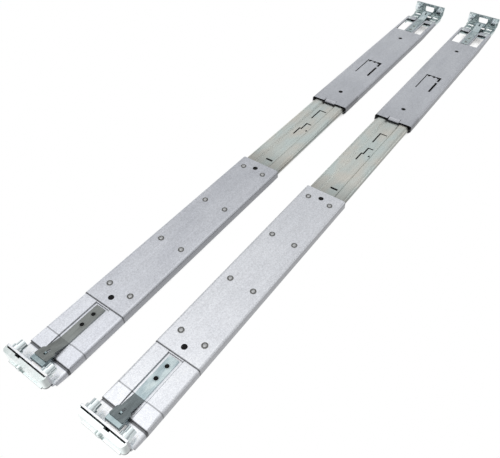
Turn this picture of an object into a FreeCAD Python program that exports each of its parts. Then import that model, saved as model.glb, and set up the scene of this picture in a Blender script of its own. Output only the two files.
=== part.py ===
import FreeCAD, Part
import math
import os

# Pair of 1U telescoping server rails, lying side by side with their outer faces up.
# Millimetres.  Each rail is drawn in its own rail frame: X runs from the rack's front to its rear
# with x = 0 at the front bracket's step, Y runs across from the rail's centre line, and Z rises
# from the bench that the rails lie on.  The row frame has its origin on the bench under the
# middle of the pair.

# ---------------------------------------------------------------- layout of the pair
RAIL_SPACING = 76.2          # centre line to centre line
RIGHT_REAR_OFFSET = 9.6      # the right rear bracket is drawn out further than the left one
SLIDE_DEPTH = 12.7           # bench to the front bracket's outer face

# ---------------------------------------------------------------- rack interface
POST_PIN_PITCH = 31.75       # outer holes of one rack unit
RACK_DEPTH = 716.9           # left rail, post face to post face
FLANGE_T = 1.6
FLANGE_RISE = 11.9           # flange edge above the front bracket's outer face
FLANGE_BEND_R = 1.8          # centre line of the bend between a floor and its flange
PIN_RISE = 7.2               # pin axis above the front bracket's outer face
PIN_COLLAR_R = 4.6           # fills a square post hole
PIN_COLLAR_L = 2.8
PIN_TIP_R = 3.5              # fills a round post hole
PIN_TIP_L = 5.0

# ---------------------------------------------------------------- front bracket
BRACKET_T = 1.5
BRACKET_HALF_WIDTH = 21.3
FLANGE_INSET = 0.25          # of both flanges' edges inside that width
BRACKET_WALL_DEPTH = 7.9
BRACKET_BEND_R = 1.0         # inside radius of its bends
BRACKET_REAR = 268.6
PLATE_EDGE = 53.9            # joggle between the riveted plate and the front run
PLATE_JOGGLE = 0.8
BEND_LINE = 14.9             # the front run slopes down from here to the step
FRONT_SLOPE_DROP = 0.5
FLOOR_DROP = 2.5             # outer face down to the floor behind the flange
FLOOR_LENGTH = 13.7          # step to the flange's inner face
WALL_NOSE_RISE = 2.1         # the walls' lower edge rises towards the flange
RECESS_END = 52.6
RECESS_HALF_WIDTH = 6.2
RECESS_DEPTH = 1.2
BRACKET_HOLES = (62.0, 259.2)
INDEX_HOLE_R = 2.5

# ---------------------------------------------------------------- front end plate and its bush
PAN_OVERHANG = 0.1           # at each side of the front bracket
PAN_TOP_DROP = 0.5           # below the flange's edge
PAN_BOTTOM_DROP = 0.7        # below the front bracket's outer face
PAN_DEPTH = 4.8
PAN_T = 1.2
PAN_CORNER_R = 3.5
PAN_SLOT = 1.0               # open line between the pan's top wall and the flange
PAN_NOTCH_HALF_WIDTH = 2.4
PAN_LIP = 0.9                # lower lip, forward of the face
BUSH_RISE = 2.5              # above the front bracket's outer face
BUSH_R = 2.7
BUSH_NOSE_L = 1.4
BUSH_BORE_R = 2.1

# ---------------------------------------------------------------- spring latch at each end
# Distances run from the flange's inner face towards the middle of the rail.
LATCH_T = 1.0
LATCH_HALF_WIDTH = 4.5
LATCH_WIDE_HALF_WIDTH = 6.3
LATCH_FLEX = 28.6            # where the strip starts to rise
FRONT_LATCH_TIP = 7.3
REAR_LATCH_TIP = 9.4
LATCH_WIDE_LENGTH = 7.2
LATCH_SLOPE = 13.2           # degrees
LATCH_LIFT = 0.05            # keeps the arm's heel off its seat
LATCH_SLOT = (10.6, 16.4)
LATCH_SLOT_HALF_WIDTH = 0.95
LATCH_TAPER = 2.0            # from the strip to its wide end
LATCH_CORNER = 0.6
HOOK_NOSE = 3.3
HOOK_SHOULDER = 8.8
HOOK_TAIL = 13.2
HOOK_TAB_GAP = 1.2           # from the strip's slot end to the hook's tab
HOOK_TAB_FIT = 0.1           # at each side of the tab
HOOK_HALF_WIDTH = 6.5
HOOK_T = 1.0
HOOK_DEPTH = 3.7
HOOK_WINDOW_GAP = 0.7
FRONT_STRIP_TAIL = 64.9
REAR_STRIP_TAIL = 72.6

# ---------------------------------------------------------------- slide members
OUTER_T = 1.2
MEMBER_SIDE_FIT = 0.15       # outer member inside the front bracket's walls
OUTER_ROLL_R = 3.8           # outside radius of the rolled edges
OUTER_LIP_ANGLE = 60.0
OUTER_LIP_L = 0.2            # straight end past the roll
OUTER_FRONT = 55.0
OUTER_END_GAP = 57.5         # from its rear end to the rear end bracket
GROOVE_HALF_WIDTH = 8.4      # at mid-depth
GROOVE_DEPTH = 1.6
RELIEF_DEPTH = 0.5           # of the intermediate member's web under that groove
MEMBER_T = 1.0
INNER_T = 1.2
INTERMEDIATE_FRONT = 6.0
INTERMEDIATE_SETBACK = 73.0  # its rear end from the outer member's
INNER_FRONT = 2.0
INNER_SETBACK = 14.0         # its rear end from the intermediate member's
SLIT_W = 1.5
STOP_SLOT = ((282.0, 1.0), (282.0, -4.2))
STOP_SLOT_W = 2.4
CRANKED_SLIT = ((335.9, 2.8), (348.1, 2.8), (348.1, 0.7), (359.8, 0.7), (359.8, -4.2))
CORNER_SLIT = ((372.3, 1.9), (390.8, 1.9), (390.8, -5.2))
PILOT_SLIT = ((346.9, -6.0), (347.7, -6.0))
PILOT_SLIT_W = 1.6
WEB_CLEARANCE = 0.9          # between the webs of the outer and the intermediate member
SKIRT_STEP = 0.7             # the intermediate member's skirts stand out below its shoulders
SKIRT_STEP_TOP = 6.3
SKIRT_STEP_BOTTOM = 5.5
SKIRT_LIP = 1.4              # turned in along the skirts' lower edge
SKIRT_LIP_Z = 1.5
INNER_LIP = 1.6              # turned out along the inner member's edges
INNER_LIP_Z = 6.3
INNER_BEND_R = 0.8

# ---------------------------------------------------------------- ball races
OUTER_BALL_R = 1.6
INNER_BALL_R = 1.2
INNER_BALL_Z = 4.0
BALL_FIT = 0.03              # running clearance at each side of a ball
POCKET_FIT = 0.05
CAGE_T = 0.6
OUTER_CAGE_H = 4.2
OUTER_CAGE_GAP = 0.3         # beside the intermediate member's skirt
INNER_CAGE_H = 3.0
CAGE_FRONT = 214.0
CAGE_LENGTH = 150.0
CAGE_POCKETS = 4             # in each strip
CAGE_MARGIN = 12.0

# ---------------------------------------------------------------- stop buffer
BUFFER_GAP = 0.8
BUFFER_LENGTH = 10.0
BUFFER_HALF_WIDTH = 13.5
BUFFER_BOTTOM_Z = 3.0

# ---------------------------------------------------------------- slots for the server's studs
STUD_FRONT_SLOT = 62.0
STUD_MIDDLE_SLOT = 262.0
STUD_REAR_INSET = 70.0       # rear slot from the inner member's rear end
STUD_SLOT_W = 7.0
STUD_SLOT_RUN = 9.0          # along the rail, past the mouth
STUD_SEAT_Y = 2.0            # seat below the centre line

# ---------------------------------------------------------------- rear bracket
REAR_LENGTH = 268.9
REAR_END_GAP = 26.2          # to the flange's inner face
REAR_SIDE_FIT = 0.85         # beside the outer member, which its curled edges take up
REAR_SLIDE_FIT = 0.1         # over the outer member
REAR_WALL_DEPTH = 6.9
REAR_LIP = 2.35
REAR_TAPER = 48.0            # the walls get shallower over this length
REAR_TAPER_DROP = 0.5        # start of the taper below the walls' bend
TONGUE_HALF_WIDTH = 6.4
TONGUE_LENGTH = 5.6
TONGUE_DROP = 1.4
TONGUE_LIP = 1.6             # flat front of the tongue
TONGUE_BEND = 4.2            # from its front edge to the web's level
TONGUE_GAP = 0.6             # at each side
REAR_HOLES = (27.1, 195.1)   # from its front edge
LANCE_START = 80.5
LANCE_LENGTH = 35.6
LANCE_Y = 7.6
LANCE_THIN = 1.2
LANCE_THICK = 2.5
LANCE_TIE = 3.5              # left between the two thick slits
LANCE_TIE_X = 14.0           # from the lance's rear end
LANCE_REAR_W = 1.8
LANCE_TOOTH = 2.4
LANCE_TEETH = (5.4, -1.2, -6.2)
WINDOW_LENGTH = 38.5
WINDOW_INSET = 4.3           # inside the rear bracket's width
BAR_HALF_WIDTH = 7.0         # bar between the windows, under the latch strip
BAR_DROP = 1.2
BAR_BED_GAP = 0.4            # opened in the cross band beside the bar
BAR_LIP = 1.2                # walls that join the bar to the cross band
BAR_LAP = 2.0                # of the bar into the web
REAR_BAND = 9.6              # cross band behind the windows

# ---------------------------------------------------------------- rear end bracket
END_LAP = 10.5               # under the rear bracket
END_SIDE_GAP = 0.3
END_WALL_DEPTH = 3.4
END_PAD_R = 3.4
END_PAD_INSET = 4.2          # pad's middle inside the end bracket's width
FLANGE_WINDOW_HALF_WIDTH = 6.3
FLANGE_WINDOW_BOTTOM = -0.7  # from the front bracket's outer face
FLANGE_WINDOW_TOP = 8.7
FLANGE_WINDOW_R = 6.0
FLANGE_WINDOW_LAP = 0.9      # of the window into the floor
END_SLOT_INSET = 16.0        # from the flange's inner face
END_SLOT_Y = (11.5, 15.5)
END_SLOT_W = 4.5

# ---------------------------------------------------------------- sizes that follow from the above
OUTER_FACE_Z = SLIDE_DEPTH
FLANGE_TOP_Z = OUTER_FACE_Z + FLANGE_RISE
PIN_Z = OUTER_FACE_Z + PIN_RISE
FRONT_INNER_FACE = -FLOOR_LENGTH
FRONT_OUTER_FACE = FRONT_INNER_FACE - FLANGE_T
REAR_INNER_FACE = FRONT_INNER_FACE + RACK_DEPTH
FLOOR_Z = OUTER_FACE_Z - FLOOR_DROP
FRONT_RUN_Z = OUTER_FACE_Z - PLATE_JOGGLE
RECESS_Z = FRONT_RUN_Z - RECESS_DEPTH
WALL_BOTTOM_Z = OUTER_FACE_Z - BRACKET_WALL_DEPTH
MEMBER_TOP_Z = OUTER_FACE_Z - BRACKET_T
FLANGE_HALF_WIDTH = BRACKET_HALF_WIDTH - FLANGE_INSET
PAN_HALF_WIDTH = BRACKET_HALF_WIDTH + PAN_OVERHANG
OUTER_HALF_WIDTH = BRACKET_HALF_WIDTH - BRACKET_T - MEMBER_SIDE_FIT
REAR_HALF_WIDTH = OUTER_HALF_WIDTH + REAR_SIDE_FIT + BRACKET_T
END_HALF_WIDTH = REAR_HALF_WIDTH - BRACKET_T - END_SIDE_GAP
ROLL_Y = OUTER_HALF_WIDTH - OUTER_ROLL_R
ROLL_Z = MEMBER_TOP_Z - OUTER_ROLL_R
OUTER_BALL_Y = OUTER_HALF_WIDTH - OUTER_T - BALL_FIT - OUTER_BALL_R
SHOULDER_Y = OUTER_BALL_Y - OUTER_BALL_R - BALL_FIT
SKIRT_Y = SHOULDER_Y + SKIRT_STEP
SKIRT_INNER_Y = SKIRT_Y - MEMBER_T
INNER_BALL_Y = SKIRT_INNER_Y - BALL_FIT - INNER_BALL_R
INNER_HALF_WIDTH = INNER_BALL_Y - INNER_BALL_R - BALL_FIT
SKIRT_WEB_Y = SKIRT_Y - MEMBER_T / 2 - SKIRT_LIP
INNER_WEB_Y = INNER_HALF_WIDTH - INNER_T - INNER_BEND_R
REAR_WEB_Y = REAR_HALF_WIDTH - REAR_LIP - 1.5 * BRACKET_T
GROOVE_WALL_Y = GROOVE_HALF_WIDTH + GROOVE_DEPTH / 2
REAR_FACE_Z = MEMBER_TOP_Z + REAR_SLIDE_FIT + BRACKET_T
REAR_LIP_Z = REAR_FACE_Z - REAR_WALL_DEPTH
BAR_Z = REAR_FACE_Z - BAR_DROP
END_FLOOR_Z = BAR_Z - BRACKET_T
END_PAD_Y = END_HALF_WIDTH - END_PAD_INSET
REAR_END = REAR_INNER_FACE - REAR_END_GAP
REAR_FRONT = REAR_END - REAR_LENGTH
OUTER_REAR = REAR_END - END_LAP - OUTER_END_GAP
INTERMEDIATE_REAR = OUTER_REAR - INTERMEDIATE_SETBACK
INNER_REAR = INTERMEDIATE_REAR - INNER_SETBACK
STUD_SLOTS = (STUD_FRONT_SLOT, STUD_MIDDLE_SLOT, INNER_REAR - STUD_REAR_INSET)
WINDOW_REAR = REAR_END - REAR_BAND
WINDOW_FRONT = WINDOW_REAR - WINDOW_LENGTH
WINDOW_HALF_WIDTH = REAR_HALF_WIDTH - WINDOW_INSET
END_PAD_X = WINDOW_REAR + REAR_BAND / 2
PAN_FACE = FRONT_OUTER_FACE - PAN_DEPTH
PAIR_FRONT = PAN_FACE - BUSH_NOSE_L
PAIR_REAR = REAR_INNER_FACE + FLANGE_T + RIGHT_REAR_OFFSET
ROW_SHIFT_X = -(PAIR_FRONT + PAIR_REAR) / 2

SIDES = {
    # y: place of the centre line; up: row direction that points up once the rail is in a rack
    "left": {"y": RAIL_SPACING / 2, "up": -1, "rear": 0.0, "notch_y": 8.0, "bush_y": 6.0},
    "right": {"y": -RAIL_SPACING / 2, "up": 1, "rear": RIGHT_REAR_OFFSET,
              "notch_y": -4.5, "bush_y": 1.5},
}


# ---------------------------------------------------------------- geometry helpers
def vec(x, y, z):
    return FreeCAD.Vector(x, y, z)


def box(x0, x1, y0, y1, z0, z1):
    """Box between two opposite corners, given in either order."""
    low = vec(min(x0, x1), min(y0, y1), min(z0, z1))
    return Part.makeBox(abs(x1 - x0), abs(y1 - y0), abs(z1 - z0), low)


def cylinder(radius, start, end):
    """Cylinder between two points."""
    axis = end - start
    return Part.makeCylinder(radius, axis.Length, start, axis)


def turned(profile, origin, axis):
    """Solid of revolution: profile holds (distance along the axis, radius) pairs."""
    along = axis.normalize()
    across = vec(0, 0, 1) if abs(along.z) < 0.5 else vec(0, 1, 0)
    points = [origin + along * station + across * radius for station, radius in profile]
    wire = Part.makePolygon(points + [points[0]])
    return Part.Face(wire).revolve(origin, along, 360)


def arc_edge(start, middle, end):
    return Part.Arc(start, middle, end).toShape()


def offset_side(path, side, half_t):
    """Edges of one face of a bent strip, as lists of points: two for a line, three for an arc."""
    pieces = []
    headings = []
    for (a0, b0, _), (a1, b1, _) in zip(path, path[1:]):
        length = math.hypot(a1 - a0, b1 - b0)
        headings.append(((a1 - a0) / length, (b1 - b0) / length))
    first = headings[0]
    here = (path[0][0] - side * half_t * first[1], path[0][1] + side * half_t * first[0])
    for corner, before, after in zip(path[1:-1], headings, headings[1:]):
        cross = before[0] * after[1] - before[1] * after[0]
        turn = math.atan2(cross, before[0] * after[0] + before[1] * after[1])
        miter = half_t * side * math.tan(turn / 2)
        a = corner[0] - side * half_t * before[1] - miter * before[0]
        b = corner[1] + side * half_t * before[0] - miter * before[1]
        radius = corner[2] - side * math.copysign(half_t, turn)
        if corner[2] == 0 or radius < 1e-6:
            pieces.append([here, (a, b)])
            here = (a, b)
            continue
        tangent = radius * math.tan(abs(turn) / 2)
        start = (a - tangent * before[0], b - tangent * before[1])
        end = (a + tangent * after[0], b + tangent * after[1])
        bisector = (after[0] - before[0], after[1] - before[1])
        size = math.hypot(*bisector)
        sag = radius / math.cos(turn / 2) - radius
        middle = (a + bisector[0] / size * sag, b + bisector[1] / size * sag)
        pieces.append([here, start])
        pieces.append([start, middle, end])
        here = end
    last = headings[-1]
    tip = (path[-1][0] - side * half_t * last[1], path[-1][1] + side * half_t * last[0])
    pieces.append([here, tip])
    return pieces


def bent_sheet(path, thickness, to_space, sweep):
    """Sheet metal bent along a centre-line path of (a, b, centre-line bend radius) and extruded.

    to_space turns a point (a, b) of the section's plane into a vector, and sweep is the extrusion.
    A radius of 0 is a crisp bend, mitred on both faces.
    """
    left = offset_side(path, 1, thickness / 2)
    right = offset_side(path, -1, thickness / 2)
    outline = left + [[left[-1][-1], right[-1][-1]]]
    outline += [piece[::-1] for piece in reversed(right)]
    outline.append([right[0][0], left[0][0]])
    edges = []
    for piece in outline:
        points = [to_space(*point) for point in piece]
        if (points[0] - points[-1]).Length < 1e-6:
            continue
        edges.append(arc_edge(*points) if len(points) == 3 else Part.makeLine(*points))
    return Part.Face(Part.Wire(edges)).extrude(sweep)


def channel(half_path, thickness, x0, x1):
    """Symmetric rolled section along X, from the half that lies at positive Y."""
    mirrored = [(-a, b, r) for a, b, r in reversed(half_path)]
    return bent_sheet(mirrored + half_path, thickness, lambda a, b: vec(x0, a, b), vec(x1 - x0, 0, 0))


def across_sheet(path, thickness, half_width):
    """Sheet bent in the XZ plane and as wide as twice half_width along Y."""
    return bent_sheet(path, thickness, lambda a, b: vec(a, -half_width, b), vec(0, 2 * half_width, 0))


def slit(points, width):
    """Cutter for a punched slit that follows a line of (x, y) corners."""
    depth = OUTER_FACE_Z + 1
    half = width / 2
    runs = []
    for (x0, y0), (x1, y1) in zip(points, points[1:]):
        runs.append(box(min(x0, x1) - half, max(x0, x1) + half,
                        min(y0, y1) - half, max(y0, y1) + half, 0, depth))
    return runs[0].multiFuse(runs[1:]) if len(runs) > 1 else runs[0]


def hole(x, y, radius):
    """Cutter for a round hole through everything above the bench."""
    return cylinder(radius, vec(x, y, -1), vec(x, y, FLANGE_TOP_Z))


def fused(shapes):
    return shapes[0].multiFuse(shapes[1:]).removeSplitter()


def web_and_edges(shape, web_y):
    """Web of a formed section, up to web_y at each side, and the formed edges outside it."""
    reach = shape.BoundBox
    middle = box(reach.XMin - 1, reach.XMax + 1, -web_y, web_y, reach.ZMin - 1, reach.ZMax + 1)
    return shape.common(middle), shape.cut(middle)


def panels(shape, cuts, axis):
    """A formed sheet as panels that meet at the given places along axis, which is 'y' or 'z'."""
    reach = shape.BoundBox
    limits = [-RAIL_SPACING] + list(cuts) + [RAIL_SPACING]
    parts = []
    for low, high in zip(limits, limits[1:]):
        if axis == "y":
            part = box(reach.XMin - 1, reach.XMax + 1, low, high, reach.ZMin - 1, reach.ZMax + 1)
        else:
            part = box(reach.XMin - 1, reach.XMax + 1, reach.YMin - 1, reach.YMax + 1, low, high)
        parts.append(shape.common(part))
    return Part.makeCompound(parts)


def fillet_edges(shape, radius, wanted):
    """Round the edges that wanted(edge) picks."""
    edges = [edge for edge in shape.Edges if wanted(edge)]
    return shape.makeFillet(radius, edges)


def edge_along(edge, axis):
    """True for a straight edge along axis, which is 'x', 'y' or 'z'."""
    box_of = edge.BoundBox
    lengths = {"x": box_of.XLength, "y": box_of.YLength, "z": box_of.ZLength}
    main = lengths.pop(axis)
    return main > 1e-3 and max(lengths.values()) < 1e-6


# ---------------------------------------------------------------- front bracket and its end
def bracket_section(face_z, recessed):
    """Half section of the front bracket with its outer face at face_z."""
    bend = BRACKET_BEND_R + BRACKET_T / 2
    web = face_z - BRACKET_T / 2
    wall = BRACKET_HALF_WIDTH - BRACKET_T / 2
    half = []
    if recessed:
        low = web - RECESS_DEPTH
        half.append((RECESS_HALF_WIDTH + BRACKET_T / 2, low, 0))
        half.append((RECESS_HALF_WIDTH + BRACKET_T, web, 0))
    half.append((wall, web, bend))
    half.append((wall, WALL_BOTTOM_Z, 0))
    return half


def front_bracket():
    """Bent-up front bracket: riveted plate, front run with the latch recess, floor and flange."""
    plate = channel(bracket_section(OUTER_FACE_Z, False), BRACKET_T, PLATE_EDGE, BRACKET_REAR)
    run = channel(bracket_section(FRONT_RUN_Z, True), BRACKET_T, 0, PLATE_EDGE)
    recess_end = box(RECESS_END, PLATE_EDGE, -RECESS_HALF_WIDTH - BRACKET_T / 2,
                     RECESS_HALF_WIDTH + BRACKET_T / 2, RECESS_Z - BRACKET_T, FRONT_RUN_Z)
    riser_half = BRACKET_HALF_WIDTH - BRACKET_T
    riser = box(0, BRACKET_T, -riser_half, riser_half, FLOOR_Z - BRACKET_T, FRONT_RUN_Z - FRONT_SLOPE_DROP)
    riser = riser.cut(box(-1, BRACKET_T + 1, -RECESS_HALF_WIDTH, RECESS_HALF_WIDTH, RECESS_Z, OUTER_FACE_Z))
    wedge = Part.Face(Part.makePolygon([
        vec(BEND_LINE, -BRACKET_HALF_WIDTH - 1, FRONT_RUN_Z),
        vec(-1, -BRACKET_HALF_WIDTH - 1, FRONT_RUN_Z + 1),
        vec(-1, -BRACKET_HALF_WIDTH - 1, FRONT_RUN_Z - FRONT_SLOPE_DROP),
        vec(0, -BRACKET_HALF_WIDTH - 1, FRONT_RUN_Z - FRONT_SLOPE_DROP),
        vec(BEND_LINE, -BRACKET_HALF_WIDTH - 1, FRONT_RUN_Z),
    ])).extrude(vec(0, 2 * BRACKET_HALF_WIDTH + 2, 0))
    nose = channel(bracket_section(FLOOR_Z, False), BRACKET_T, FRONT_INNER_FACE + BRACKET_T, 0)
    mid_floor = FLOOR_Z - BRACKET_T / 2
    mid_flange = FRONT_INNER_FACE - FLANGE_T / 2
    flange = across_sheet([(BRACKET_T, mid_floor, 0), (mid_flange, mid_floor, FLANGE_BEND_R),
                           (mid_flange, FLANGE_TOP_Z, 0)], BRACKET_T, FLANGE_HALF_WIDTH)
    flange = flange.cut(box(FRONT_INNER_FACE + BRACKET_T, BRACKET_T + 1,
                            -FLANGE_HALF_WIDTH, FLANGE_HALF_WIDTH, 0, OUTER_FACE_Z))
    flange = flange.fuse(box(FRONT_OUTER_FACE, FRONT_INNER_FACE, -FLANGE_HALF_WIDTH,
                             FLANGE_HALF_WIDTH, OUTER_FACE_Z, FLANGE_TOP_Z))
    wall_cut = Part.Face(Part.makePolygon([
        vec(0, -BRACKET_HALF_WIDTH - 1, WALL_BOTTOM_Z),
        vec(FRONT_OUTER_FACE - 1, -BRACKET_HALF_WIDTH - 1, WALL_BOTTOM_Z + WALL_NOSE_RISE),
        vec(FRONT_OUTER_FACE - 1, -BRACKET_HALF_WIDTH - 1, 0),
        vec(0, -BRACKET_HALF_WIDTH - 1, 0),
        vec(0, -BRACKET_HALF_WIDTH - 1, WALL_BOTTOM_Z),
    ])).extrude(vec(0, 2 * BRACKET_HALF_WIDTH + 2, 0))
    body = fused([plate, run, recess_end, riser, nose, flange])
    cutters = [wedge, wall_cut, hook_window(FRONT_INNER_FACE, 1, FLOOR_Z)]
    cutters += [hole(x, 0, INDEX_HOLE_R) for x in BRACKET_HOLES]
    return body.cut(cutters)


def pin_places():
    return (-POST_PIN_PITCH / 2, POST_PIN_PITCH / 2)


def front_end_plate(notch_y, bush_y):
    """Shallow pan in front of the flange, open towards it along its top edge."""
    top = FLANGE_TOP_Z - PAN_TOP_DROP
    bottom = OUTER_FACE_Z - PAN_BOTTOM_DROP
    outer = box(PAN_FACE, FRONT_OUTER_FACE, -PAN_HALF_WIDTH, PAN_HALF_WIDTH, bottom, top)
    outer = fillet_edges(outer, PAN_CORNER_R,
                         lambda e: edge_along(e, "z") and e.BoundBox.XMin < PAN_FACE + 0.1)
    inner = box(PAN_FACE + PAN_T, FRONT_OUTER_FACE + 1, -PAN_HALF_WIDTH + PAN_T,
                PAN_HALF_WIDTH - PAN_T, bottom + PAN_T, top - PAN_T)
    inner = fillet_edges(inner, PAN_CORNER_R - PAN_T,
                         lambda e: edge_along(e, "z") and e.BoundBox.XMin < PAN_FACE + PAN_T + 0.1)
    lip = box(PAN_FACE - PAN_LIP, PAN_FACE + PAN_T, -PAN_HALF_WIDTH + PAN_CORNER_R,
              PAN_HALF_WIDTH - PAN_CORNER_R, bottom, bottom + PAN_T)
    open_line = box(FRONT_OUTER_FACE - PAN_SLOT, FRONT_OUTER_FACE + 1, -PAN_HALF_WIDTH + PAN_T,
                    PAN_HALF_WIDTH - PAN_T, top - PAN_T - 1, top + 1)
    notch = box(FRONT_OUTER_FACE - 2 * PAN_SLOT, FRONT_OUTER_FACE, notch_y - PAN_NOTCH_HALF_WIDTH,
                notch_y + PAN_NOTCH_HALF_WIDTH, top - PAN_T - 1, top + 1)
    pan = outer.cut(inner).fuse(lip)
    bush_z = OUTER_FACE_Z + BUSH_RISE
    bush_hole = cylinder(BUSH_R, vec(PAN_FACE - PAN_DEPTH, bush_y, bush_z), vec(0, bush_y, bush_z))
    return pan.cut([open_line, notch, bush_hole])


def thumbscrew_bush(bush_y):
    """Tapped bush that stands on the flange and looks out of the end plate."""
    start = vec(PAN_FACE - BUSH_NOSE_L, bush_y, OUTER_FACE_Z + BUSH_RISE)
    end = vec(FRONT_OUTER_FACE, bush_y, OUTER_FACE_Z + BUSH_RISE)
    return cylinder(BUSH_R, start, end).cut(cylinder(BUSH_BORE_R, start, end))


def guide_pins(inner_face, outward):
    """Two stepped post pins that stand on a flange; outward is +1 for pins that point to +X."""
    profile = [
        (0, 0),
        (0, PIN_COLLAR_R),
        (PIN_COLLAR_L, PIN_COLLAR_R),
        (PIN_COLLAR_L, PIN_TIP_R),
        (PIN_COLLAR_L + PIN_TIP_L, PIN_TIP_R),
        (PIN_COLLAR_L + PIN_TIP_L, 0),
    ]
    return Part.makeCompound([turned(profile, vec(inner_face, y, PIN_Z), vec(outward, 0, 0))
                              for y in pin_places()])


# ---------------------------------------------------------------- spring latches
def hook_window(inner_face, inward, floor_z):
    """Cutter for the floor window that the hook dips into."""
    half = HOOK_HALF_WIDTH + HOOK_WINDOW_GAP
    return box(inner_face + inward * (HOOK_NOSE - HOOK_WINDOW_GAP),
               inner_face + inward * (HOOK_SHOULDER + HOOK_WINDOW_GAP),
               -half, half, floor_z - BRACKET_T - 1, floor_z + 1)


def latch_line(seat_z, s):
    """Height of the rising strip's centre line at distance s from the flange."""
    return seat_z + LATCH_LIFT + LATCH_T / 2 + (LATCH_FLEX - s) * math.tan(math.radians(LATCH_SLOPE))


def latch_spring(inner_face, inward, seat_z, tail):
    """Riveted part of the spring strip, flat on its seat."""
    return box(inner_face + inward * LATCH_FLEX, inner_face + inward * tail,
               -LATCH_HALF_WIDTH, LATCH_HALF_WIDTH, seat_z, seat_z + LATCH_T)


def latch_arm(inner_face, inward, seat_z, tip, wide):
    """Rising part of the spring strip, whose slotted end is as wide as twice wide."""
    half_t = LATCH_T / 2 / math.cos(math.radians(LATCH_SLOPE))
    side = [(s, latch_line(seat_z, s) + sign * half_t)
            for s, sign in ((LATCH_FLEX, -1), (tip, -1), (tip, 1), (LATCH_FLEX, 1))]
    points = [vec(inner_face + inward * s, -wide, z) for s, z in side]
    slab = Part.Face(Part.makePolygon(points + [points[0]])).extrude(vec(0, 2 * wide, 0))
    shoulder = tip + LATCH_WIDE_LENGTH
    taper = shoulder + LATCH_TAPER
    plan = [(LATCH_FLEX, LATCH_HALF_WIDTH), (taper, LATCH_HALF_WIDTH), (shoulder, wide),
            (tip + LATCH_CORNER, wide), (tip, wide - LATCH_CORNER)]
    plan += [(s, -y) for s, y in reversed(plan)]
    corners = [vec(inner_face + inward * s, y, 0) for s, y in plan]
    outline = Part.Face(Part.makePolygon(corners + [corners[0]])).extrude(vec(0, 0, FLANGE_TOP_Z))
    slot = box(inner_face + inward * LATCH_SLOT[0], inner_face + inward * LATCH_SLOT[1],
               -LATCH_SLOT_HALF_WIDTH, LATCH_SLOT_HALF_WIDTH, 0, FLANGE_TOP_Z)
    return slab.common(outline).cut(slot)


def latch_hook(inner_face, inward, seat_z):
    """Formed hook staked into the strip's slot, with its nose just behind the rack post."""
    lap = (LATCH_T + HOOK_T) / 2 / math.cos(math.radians(LATCH_SLOPE))
    shoulder_z = latch_line(seat_z, HOOK_SHOULDER) - lap
    tail_z = latch_line(seat_z, HOOK_TAIL) - lap
    bottom_z = shoulder_z + HOOK_T / 2 - HOOK_DEPTH
    nose = HOOK_NOSE + HOOK_T / 2
    path = [(inner_face + inward * nose, bottom_z, 0),
            (inner_face + inward * nose, shoulder_z, HOOK_T / 2),
            (inner_face + inward * HOOK_SHOULDER, shoulder_z, 0),
            (inner_face + inward * HOOK_TAIL, tail_z, 0)]
    formed = across_sheet(path, HOOK_T, HOOK_HALF_WIDTH)
    cheeks = [box(inner_face + inward * (HOOK_NOSE + HOOK_T), inner_face + inward * HOOK_SHOULDER,
                  side * HOOK_HALF_WIDTH, side * (HOOK_HALF_WIDTH - HOOK_T), bottom_z, shoulder_z)
              for side in (-1, 1)]
    tab_half = LATCH_SLOT_HALF_WIDTH - HOOK_TAB_FIT
    tab = box(inner_face + inward * (LATCH_SLOT[0] + HOOK_TAB_GAP), inner_face + inward * HOOK_TAIL,
              -tab_half, tab_half,
              tail_z, latch_line(seat_z, LATCH_SLOT[0]) + LATCH_T / 2)
    return fused([formed] + cheeks + [tab])


# ---------------------------------------------------------------- slide members
def outer_member():
    """Rolled outer member: grooved web, C-shaped ball races and lanced stops."""
    half_t = OUTER_T / 2
    web = MEMBER_TOP_Z - half_t
    roll = OUTER_ROLL_R - half_t
    lip = math.radians(OUTER_LIP_ANGLE)
    side = OUTER_HALF_WIDTH - half_t
    end_y = ROLL_Y + roll * math.cos(lip) - OUTER_LIP_L * math.sin(lip)
    end_z = ROLL_Z - roll * math.sin(lip) - OUTER_LIP_L * math.cos(lip)
    half = [
        (GROOVE_HALF_WIDTH - GROOVE_DEPTH / 2, web - GROOVE_DEPTH, 0),
        (GROOVE_WALL_Y, web, 0),
        (side, web, roll),
        (side, ROLL_Z - roll * math.tan(lip / 2), roll),
        (end_y, end_z, 0),
    ]
    member = channel(half, OUTER_T, OUTER_FRONT, OUTER_REAR)
    return member.cut([slit(STOP_SLOT, STOP_SLOT_W), slit(CRANKED_SLIT, SLIT_W),
                       slit(CORNER_SLIT, SLIT_W), slit(PILOT_SLIT, PILOT_SLIT_W)])


def stop_buffer():
    """Plastic buffer under the outer member's web, behind the intermediate member."""
    front = INTERMEDIATE_REAR + BUFFER_GAP
    web_under = MEMBER_TOP_Z - OUTER_T
    groove_under = web_under - GROOVE_DEPTH
    body = box(front, front + BUFFER_LENGTH, -BUFFER_HALF_WIDTH, BUFFER_HALF_WIDTH,
               BUFFER_BOTTOM_Z, web_under)
    relief_y = GROOVE_HALF_WIDTH + GROOVE_DEPTH
    return body.cut(box(front - 1, front + BUFFER_LENGTH + 1, -relief_y, relief_y,
                        groove_under, web_under + 1))


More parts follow.
